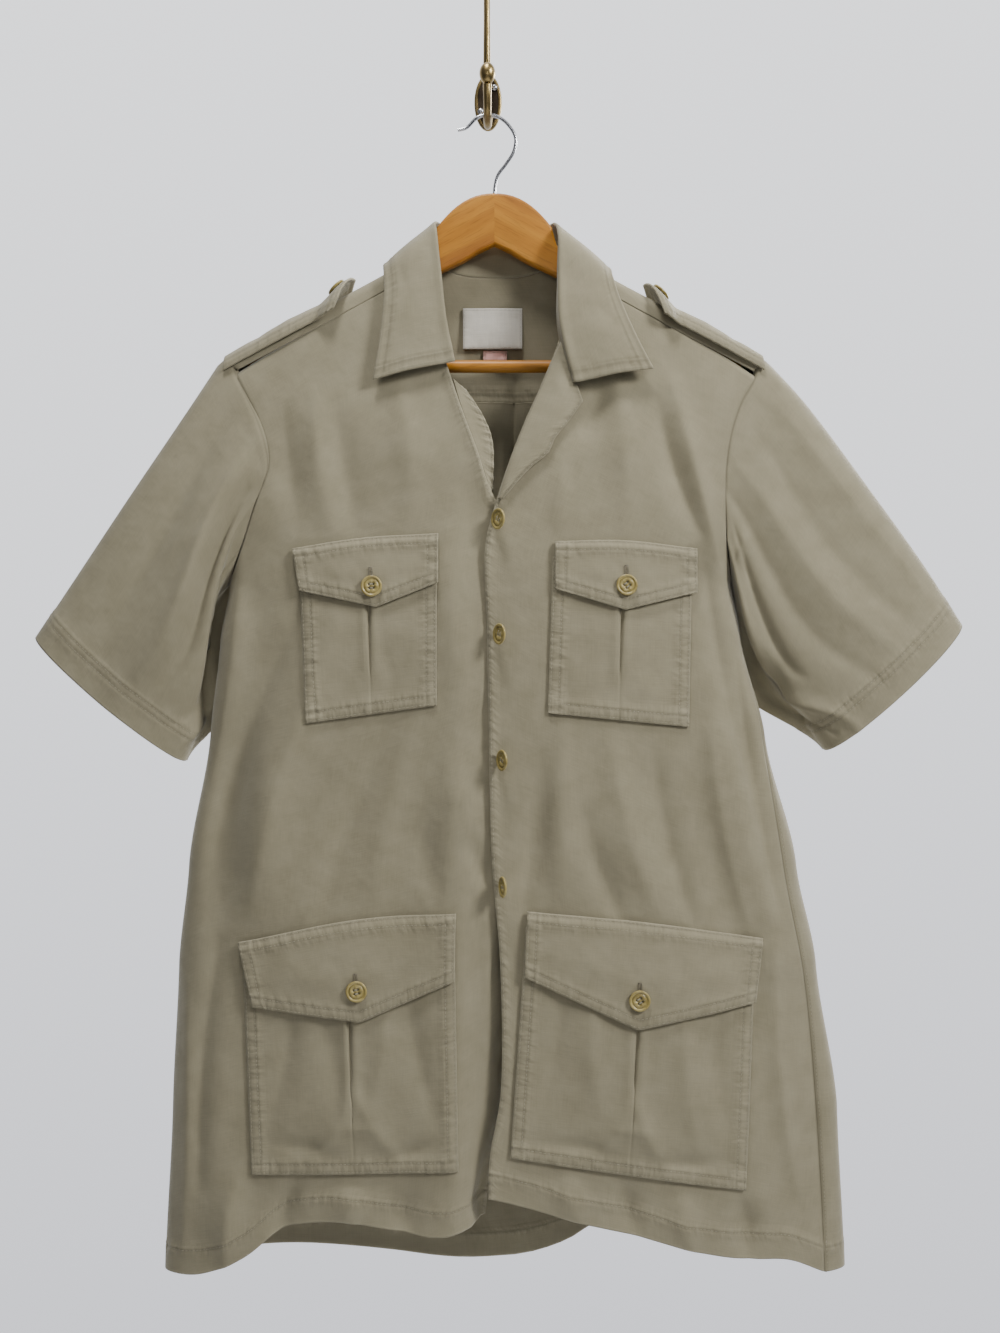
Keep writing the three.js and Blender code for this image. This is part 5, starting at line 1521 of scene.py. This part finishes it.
for node, turn, spin in BUTTONS:
    angle = math.radians(turn)
    place_button(node, Vector((-math.sin(angle), -math.cos(angle), 0)), spin)
for side in SIDES:
    armhole, tip, button = (STRAPS[side][key] for key in ("armhole", "tip", "button"))
    t = (button - armhole) / (tip - armhole)
    near = (over_shoulder(mix(armhole, tip, s), 0.0, strap_lift(s)) for s in (t - 0.04, t + 0.04))
    before, after = near
    along = Vector(after - before).normalized()
    way = 1 if side == "left" else -1
    place_button(f"strap_button_{side}", Vector((-along.z, 0, along.x)) * way, STRAP_BUTTON_SPIN)
print("buttons:", len(BUTTONS) + len(SIDES))

# %% [markdown]
# ## Stitches and buttonholes
#
# Every row of stitches that was asked for while folding the hems is laid now, on the finished surface. One
# stitch is a small four-sided rod, and each row repeats it, so a whole shirt's stitches stay light. A
# buttonhole is a dense row of stitches across its edge, on both sides of a slit.

# %% Lay the stitches
STITCH, STITCH_GAP, STITCH_WIDTH = 2.3, 0.9, 0.42
# How far a stitch reaches in its pitch, how long its rod is for that, how flat and how far raised
STITCH_REACH, STITCH_LENGTH, STITCH_FLATNESS, STITCH_RAISED = 0.72, STITCH * 1.25, 0.6, 0.12


def stitch_pattern():
    """A four-sided rod along x with narrowed ends."""
    mesh = bmesh.new()
    turn = Matrix.Rotation(math.pi / 2, 4, "Y")
    bmesh.ops.create_cone(mesh, cap_ends=True, segments=4, radius1=0.5, radius2=0.5, depth=0.7, matrix=turn)
    ends = [face for face in mesh.faces if abs(face.normal.x) > 0.9]
    for face in ends:
        for vert in face.verts:
            vert.co.y *= 0.6
            vert.co.z *= 0.6
    return finish_mesh(mesh, "stitch", smooth=False)


def stitches_object(name, places, finish=thread):
    """places: for each stitch its middle, its direction, its normal, its length and its width."""
    pattern = stitch_pattern()
    shape = np.array([vert.co[:] for vert in pattern.vertices])
    mesh = bmesh.new()
    for _ in places:
        mesh.from_mesh(pattern)
    middle, along, normal, length, width = (np.array(column, float) for column in zip(*places))
    along /= np.linalg.norm(along, axis=1, keepdims=True)
    across = np.cross(normal, along)
    corners = (middle[:, None] + along[:, None] * shape[None, :, 0:1] * length[:, None, None]
               + across[:, None] * shape[None, :, 1:2] * width[:, None, None]
               + normal[:, None] * shape[None, :, 2:3] * width[:, None, None] * STITCH_FLATNESS)
    for vert, place in zip(mesh.verts, corners.reshape(-1, 3)):
        vert.co = place * MM
    add_object(name, finish_mesh(mesh, name), finish, None)
    print(f"{name}: {len(places)} stitches")


def row_of_stitches(line):
    """Stitches along a line of points with normals."""
    run = np.concatenate([[0], np.linalg.norm(np.diff(line[:, :3], axis=0), axis=1).cumsum()])
    pitch = STITCH + STITCH_GAP
    places = []
    for k in range(int(run[-1] / pitch)):
        ends = [(k + part) * pitch for part in (0.0, STITCH_REACH)]
        start, stop = (np.array([np.interp(end, run, column) for column in line.T]) for end in ends)
        normal = (start[3:] + stop[3:]) / 2
        middle = (start[:3] + stop[:3]) / 2 + normal * STITCH_RAISED
        places.append((middle, stop[:3] - start[:3], normal, STITCH_LENGTH, STITCH_WIDTH))
    return places


def trim_of(node, edge, inset):
    """The lengths left without stitches at the start and the end of a row."""
    if node == "yoke" and edge == "top":
        return 2, 2
    if node == "collar" and edge in ("top", "bottom"):
        return 8, inset
    return inset, inset


for node, cloth in measured.items():
    places = []
    for edge, inset in cloth.rows_of_stitches:
        line = cloth.line(edge, inset, trim_of(node, edge, inset))
        if len(line) > 2:
            places += row_of_stitches(line)
    if places:
        stitches_object(f"{node}_stitches", places)

# %% Sew the buttonholes
HOLE_LENGTH, HOLE_PITCH, HOLE_WIDTH = 15.0, 0.62, 1.1
# How far the thread is raised, and the length and width of its rods
HOLE_SIDE = {"raised": 0.3, "length": 2.3, "width": 0.55}
HOLE_END = {"raised": 0.35, "length": 4.2, "width": 0.6, "shifts": (-0.4, 0, 0.4)}


def buttonhole(middle, direction, normal):
    """A long stitch across each side of the slit at every step, and a bar of stitches at both ends."""
    places = []
    across = np.cross(normal, direction)
    for k in range(int(HOLE_LENGTH / HOLE_PITCH)):
        offset = (k + 0.5) * HOLE_PITCH - HOLE_LENGTH / 2
        for side in (-1, 1):
            point = middle + direction * offset + across * side * HOLE_WIDTH + normal * HOLE_SIDE["raised"]
            places.append((point, across, normal, HOLE_SIDE["length"], HOLE_SIDE["width"]))
    for side in (-1, 1):
        for shift in HOLE_END["shifts"]:
            point = middle + direction * (side * HOLE_LENGTH / 2 + shift) + normal * HOLE_END["raised"]
            places.append((point, across, normal, HOLE_END["length"], HOLE_END["width"]))
    return places


def on_cloth(cloth, x, z):
    """The point of a cloth's front nearest to x and z, with its normal."""
    points, normals = cloth.points.reshape(-1, 3), cloth.normals().reshape(-1, 3)
    nearest = np.argmin((points[:, 0] - x) ** 2 + (points[:, 2] - z) ** 2)
    return points[nearest], normals[nearest]


places = []
for name, pocket in POCKETS.items():
    x, z = pocket["button"]
    rise = KINDS[name.split("_")[0]]["hole_rise"]
    point, normal = on_cloth(flaps[name], x, z + rise)
    places += buttonhole(point, np.array([0, 0, 1.0]), normal)
stitches_object("pocket_buttonholes", places, finish=dark_thread)

# %% [markdown]
# ## The hanger
#
# The hanger is two arms cut from 10 mm beech, glued in the middle, with a dowel as a bar and a bent wire as
# a hook. All is varnished. An arm starts as its outline, which is filled, made thick and then bevelled, so
# its edges are round as if a router had run round them.

# %% The wood's finish
GRAIN_COLOURS = [(0.3, (0.29, 0.104, 0.008)), (0.52, (0.40, 0.162, 0.014)), (0.75, (0.49, 0.218, 0.024))]


def wood_material(name, slope):
    """Varnished beech whose grain runs along x, turned by the slope of the arm."""
    material, tree, shader = start_material(
        name, (0.43, 0.168, 0.022), 0.5, Coat_Weight=0.04, Coat_Roughness=0.25, Specular_IOR_Level=0.3)
    place = object_place(tree)
    turned = stretched(tree, place, Rotation=(0, slope, 0))
    bands = noise(tree, stretched(tree, turned, Scale=(3.5, 40.0, 55.0)), 1.6, 5.0, Distortion=0.5)
    flecks = noise(tree, stretched(tree, turned, Scale=(60.0, 900.0, 900.0)), 1.0)
    flecked = ramp(tree, flecks, [(0.36, 0.62), (0.46, 1.0)])
    colour = blend_colours(tree, 0.55, ramp(tree, bands, GRAIN_COLOURS), flecked, "MULTIPLY")
    feed(tree, shader.inputs["Base Color"], colour)
    gloss = ramp(tree, noise(tree, place, 16.0), [(0.3, 0.42), (0.7, 0.56)])
    feed(tree, shader.inputs["Roughness"], gloss)
    feed(tree, shader.inputs["Normal"], bump(tree, 0.2, 0.0002, flecks))
    return material


ARM_SLOPE = math.atan(SHOULDER_SLOPE)
beech = {"left": wood_material("beech_left", ARM_SLOPE), "right": wood_material("beech_right", -ARM_SLOPE)}
beech_bar = wood_material("beech_bar", 0.0)

# %% Cut the arms
WOOD = {"thickness": 10, "bevel": 2.4, "half_span": 198, "end_rise": 24, "under_cloth": 2.6}
DOME = {"top": -91.7, "fall": 0.00457, "power": 2.27, "reach": 58}
BAR = {"radius": 5, "z": -230, "reach": 160, "cover": 8}
SEAM_GAP = 0.3
# Distances from the middle at which the upper edge is worked out
ARM_STATIONS = [0, 5, 10, 15, 20, 25, 30, 34, 38, 42, 46, 50, 54, 60, 70, 90, 120, 155, 180, 192]
# Distance from the middle and height of the lower edge, from the bar to the joint
ARM_UNDERSIDE = [(120, -193), (60, -163), (40, -153.5), (24, -146), (12, -138.5), (0, -133)]


def wood_top(reach):
    dome = DOME["top"] - DOME["fall"] * reach ** DOME["power"]
    under_cloth = float(shoulder_z(np.array(NECK_X + reach))) - WOOD["under_cloth"]
    if reach < NECK_HALF - 4:
        return dome
    return min(dome, under_cloth) if reach < DOME["reach"] else under_cloth


def arm_outline(way):
    tip = WOOD["half_span"]
    end_top, end_low = wood_top(tip) - 4, wood_top(tip) - WOOD["end_rise"]
    end = [(tip, end_top), (tip, end_low + 5), (tip - 6, end_low)]
    socket, low, high = BAR["reach"] + SEAM_GAP, BAR["z"] - BAR["cover"], BAR["z"] + BAR["cover"]
    hook = [(socket + 4, low), (socket, low), (socket, high)]
    upper = [(r, wood_top(r)) for r in ARM_STATIONS]
    return [(NECK_X + way * r, z) for r, z in upper + end + hook + ARM_UNDERSIDE]


def arm_mesh(way):
    mesh = bmesh.new()
    back = MIDDLE_Y + WOOD["thickness"] / 2
    corners = [mesh.verts.new((x * MM, back * MM, z * MM)) for x, z in arm_outline(way)]
    thicken(mesh, [mesh.faces.new(corners)], (0, -WOOD["thickness"] * MM, 0))
    joint = NECK_X * MM
    rims = [edge for edge in mesh.edges if abs(edge.verts[0].co.y - edge.verts[1].co.y) < 1e-6
            and max(abs(vert.co.x - joint) for vert in edge.verts) > 1e-6]
    bmesh.ops.bevel(mesh, geom=rims, offset=WOOD["bevel"] * MM, offset_type="OFFSET", segments=4, profile=0.5,
                    affect="EDGES", clamp_overlap=True, material=-1)
    return mesh


for way, side in ((-1, "left"), (1, "right")):
    data = finish_mesh(arm_mesh(way), f"hanger_arm_{side}_wood", sharp_from=35)
    add_object(data.name, data, beech[side], f"hanger_arm_{side}")
    print(data.name, len(data.polygons), "faces")

# %% [markdown]
# ## Rods and wire
#
# The bar, the hanger's wire and the wall hook's stem are all round rods. `rod` lays rings of points along a
# line and closes their ends, on the same grid that the cloth uses, joined round. A radius for each point
# lets a rod swell or taper.

# %% A helper for rods
def rod(name, path, radius, finish, node, sides=20, count=60):
    line = resample(curve_points(path, 12), np.linspace(0, 1, count))
    given = np.atleast_1d(radius)
    radii = np.interp(np.linspace(0, 1, len(line)), np.linspace(0, 1, len(given)), given)[:, None, None]
    tangent = np.gradient(line, axis=0)
    tangent /= np.linalg.norm(tangent, axis=1, keepdims=True)
    side = np.cross(tangent, (0, 0, 1.0) if abs(tangent[:, 2]).mean() < 0.6 else (0, 1.0, 0))
    side /= np.linalg.norm(side, axis=1, keepdims=True)
    up = np.cross(side, tangent)
    angle = np.linspace(0, 2 * np.pi, sides + 1)[None, :, None]
    points = line[:, None] + radii * (np.cos(angle) * side[:, None] + np.sin(angle) * up[:, None])
    points[:, -1] = points[:, 0]
    uv = np.stack(np.meshgrid(np.linspace(0, 1, sides + 1), np.linspace(0, 1, len(line))), axis=2)
    data, _ = grid_mesh(name, points, uv, around=True, closed_ends=True, sharp_from=50)
    add_object(name, data, finish, node)
    print(name, len(data.polygons), "faces")


bar_line = [(NECK_X + share * BAR["reach"], MIDDLE_Y, BAR["z"]) for share in (-1, 0, 1)]
rod("hanger_bar_dowel", bar_line, BAR["radius"], beech_bar, "hanger_bar", sides=28)

# %% [markdown]
# ### Metals
#
# The wire is plated and bright, with fine drawing lines and a few dull spots. The wall hook is aged brass:
# bright where hands and hangers rub it, brown in between. Its plate is a darker bronze with a bright rim.

# %% The metals' finishes
def metal_material(name, bright, dull, roughness, spots, amount):
    material, tree, shader = start_material(name, bright, roughness, Metallic=1.0)
    place = object_place(tree)
    patina = noise(tree, place, spots, 5.0, Roughness=0.62)
    share = ramp(tree, patina, [(0.5 - amount / 2, 0.0), (0.5 + amount / 2, 1.0)])
    gloss = ramp(tree, patina, [(0.3, roughness * 0.8), (0.7, min(1.0, roughness * 1.6))])
    feed(tree, shader.inputs["Base Color"], blend_colours(tree, share, bright, dull))
    feed(tree, shader.inputs["Roughness"], gloss)
    feed(tree, shader.inputs["Normal"], bump(tree, 0.05, 0.0001, noise(tree, place, spots * 12)))
    return material


plated = metal_material("plated_wire", (0.55, 0.56, 0.58), (0.42, 0.42, 0.43), 0.24, 45.0, 0.6)
aged_brass = metal_material("aged_brass", (0.37, 0.275, 0.115), (0.13, 0.09, 0.042), 0.32, 42.0, 0.5)
bronze = metal_material("dark_bronze", (0.085, 0.062, 0.04), (0.03, 0.024, 0.018), 0.35, 70.0, 0.5)

# %% Bend the wire
WIRE_RADIUS = 1.4
WIRE = [
    (-24, -40), (-17, -38), (-8, -29.6), (0, -27.9), (9, -29.6), (17, -36), (22.4, -46), (21, -57),
    (15, -67), (8.4, -76), (6, -85), (5.5, -93),
]
wire_line = [(x, MIDDLE_Y, z) for x, z in WIRE]
rod("hanger_wire_hook", wire_line, WIRE_RADIUS, plated, "hanger_wire", sides=16, count=110)

# %% [markdown]
# ### The wall hook
#
# An oval plate is screwed to the wall. A prong comes out of its lower half, turns up and ends in a round
# knob, and the hanger's wire lies in its bend. A slim rod rises from the plate's upper half.

# %% Sizes of the wall hook
PRONG = [(-3.2, -14.6), (-9, -15), (-21, -25), (-34, -32), (-45, -33.2), (-55, -28), (-60, -18), (-61, -10)]
PRONG_RADII = [4.4, 3.8, 3.3, 3.0, 3.0, 3.2, 3.5]
ROD = [(-3.2, 10.4), (-9, 11), (-15, 22), (-18, 42), (-19, 79)]
ROD_RADII = [3.6, 3.0, 2.8, 2.6, 2.6]
ROD_X = -0.8
KNOB = {"radius": 6.4, "length": 17}
PLATE = {
    "half_width": 11.5, "half_height": 23.5, "depth": 3,
    "round": 1.4, "rim": 1.1, "step": 0.5, "sunk": 0.6,
}
# Radius and height of a screw's domed head
SCREW_DOME = [(0, 1.7), (1.2, 1.6), (2.2, 1.1), (2.8, 0.3), (2.8, 0), (0, 0)]
SCREWS = [
    # name, node or none, x, z
    ("screw_l6", "plate_screw", -6, -8),
    ("screw_5", None, 5.2, 12),
]
FACE_FRONT = Matrix.Rotation(math.pi / 2, 3, "X")

# %% Make the prong, the knob and the rod
prong_line, rod_line = [(0, y, z) for y, z in PRONG], [(ROD_X, y, z) for y, z in ROD]
rod("hook_prong_stem", prong_line, PRONG_RADII, aged_brass, "hook_prong", sides=24)
rod("hook_rod_stem", rod_line, ROD_RADII, aged_brass, "hook_rod")

knob_turns = np.linspace(0, math.pi, 15)
rounded = [(KNOB["radius"] * math.sin(a), KNOB["length"] / 2 * (1 - math.cos(a))) for a in knob_turns]
mesh = spin_profile(rounded, steps=28)
prong_y, prong_z = PRONG[-1]
bmesh.ops.translate(mesh, verts=mesh.verts[:], vec=(0, prong_y * MM, (prong_z + SEAM_GAP) * MM))
add_object("hook_knob_ball", finish_mesh(mesh, "hook_knob_ball"), aged_brass, "hook_knob")

# %% Make the plate
mesh = bmesh.new()
oval = Matrix.Diagonal((PLATE["half_width"] * MM, PLATE["half_height"] * MM, 1, 1))
bmesh.ops.create_circle(mesh, cap_ends=True, segments=64, radius=1.0, matrix=oval)
thicken(mesh, mesh.faces[:], (0, 0, PLATE["depth"] * MM))
rim = [edge for face in mesh.faces if face.normal.z > 0.9 for edge in face.edges]
bmesh.ops.bevel(mesh, geom=rim, offset=PLATE["round"] * MM, offset_type="OFFSET", segments=4, profile=0.5,
                affect="EDGES", material=-1)
front = [face for face in mesh.faces if face.normal.z > 0.99 and len(face.verts) > 10]
bmesh.ops.inset_region(mesh, faces=front, thickness=PLATE["rim"] * MM, depth=0)
bmesh.ops.inset_region(mesh, faces=front, thickness=PLATE["step"] * MM, depth=-PLATE["sunk"] * MM)
for face in front:
    face.material_index = 1
bmesh.ops.rotate(mesh, verts=mesh.verts[:], cent=(0, 0, 0), matrix=FACE_FRONT)
data = finish_mesh(mesh, "wall_plate_oval", sharp_from=40)
add_object(data.name, data, aged_brass, "wall_plate")
data.materials.append(bronze)

# %% Drive the screws in
for name, node, x, z in SCREWS:
    mesh = spin_profile(SCREW_DOME, steps=24)
    bmesh.ops.rotate(mesh, verts=mesh.verts[:], cent=(0, 0, 0), matrix=FACE_FRONT)
    bmesh.ops.translate(mesh, verts=mesh.verts[:], vec=(x * MM, -PLATE["depth"] * MM, z * MM))
    add_object(name, finish_mesh(mesh, name, sharp_from=40), plated, node)
print("the wall hook is made")

# %% [markdown]
# ## Floor, light and camera
#
# The wall plate is 1.95 m above a pale floor. The key light comes from the right, above and in front, so it
# grazes the folds, and a smaller one above the shirt shades the flaps and the collar. A weak bounce from
# below, a small light into the neck and one from behind keep the rest readable. The world is bright on the
# wall's side and dark on the room's, as in the photograph, and the camera stands level with the middle of
# the shirt.

# %% Light the studio
FLOOR_Z, FLOOR_RADIUS = -1.95, 1.9
mesh = bmesh.new()
level = Matrix.Translation((0, 0, FLOOR_Z))
bmesh.ops.create_circle(mesh, cap_ends=True, segments=96, radius=FLOOR_RADIUS, matrix=level)
data = finish_mesh(mesh, "floor", smooth=False)
data.materials.append(start_material("pale_floor", (0.78, 0.78, 0.78), 0.9)[0])
floor = bpy.data.objects.new("floor", data)
bpy.context.scene.collection.objects.link(floor)

LIGHTS = [
    # name, place, aimed at, size in metres, power in watts
    ("key", (1.9, -1.45, 1.0), (0, 0, -0.45), 0.75, 76),
    ("floor bounce", (0.2, -1.5, -1.7), (0, 0, -0.7), 1.2, 3),
    ("top", (-0.15, -0.55, 1.2), (0, 0, -0.5), 0.4, 27),
    ("neck fill", (-0.05, -1.3, -0.05), (0, 0, -0.24), 0.3, 1.8),
    ("behind", (1.7, 1.5, 0.5), (0, 0, -0.5), 0.7, 60),
]
for name, place, aim, size, power in LIGHTS:
    lamp = bpy.data.lights.new(name, "AREA")
    lamp.shape, lamp.size, lamp.energy = "DISK", size, power
    holder = bpy.data.objects.new(name, lamp)
    holder.location = place
    holder.rotation_euler = (Vector(aim) - Vector(place)).to_track_quat("-Z", "Y").to_euler()
    bpy.context.scene.collection.objects.link(holder)

ROOM_SIDE, WALL_LOW, WALL_HIGH = (0.055, 0.057, 0.062), (0.58, 0.59, 0.64), (0.95, 0.965, 1.0)
WORLD_STRENGTH = 1.75
world = bpy.data.worlds.new("pale_room")
world.use_nodes = True
tree = world.node_tree
background = tree.nodes["Background"]
direction = add_node(tree, "ShaderNodeTexCoord").outputs["Generated"]
way = add_node(tree, "ShaderNodeSeparateXYZ", None, Vector=direction)
wall_side = ramp(tree, way.outputs[1], [(0.0, 0.0), (0.45, 1.0)])
height = add_node(tree, "ShaderNodeMapRange", None, Value=way.outputs[2], From_Min=-0.5, From_Max=0.5)
wall_shade = ramp(tree, height.outputs[0], [(0.0, WALL_LOW), (1.0, WALL_HIGH)])
feed(tree, background.inputs["Color"], blend_colours(tree, wall_side, ROOM_SIDE, wall_shade))
background.inputs["Strength"].default_value = WORLD_STRENGTH
bpy.context.scene.world = world
print("lights:", len(LIGHTS))

# %% Place the camera
CAMERA = {"place": (0.010, -1.150, -0.471), "lens": 37.13, "sensor": 36}
lens = bpy.data.cameras.new("camera")
lens.lens, lens.sensor_width, lens.sensor_fit = CAMERA["lens"], CAMERA["sensor"], "AUTO"
camera = bpy.data.objects.new("camera", lens)
camera.location = CAMERA["place"]
camera.rotation_euler = (math.pi / 2, 0, 0)
bpy.context.scene.collection.objects.link(camera)
bpy.context.scene.camera = camera
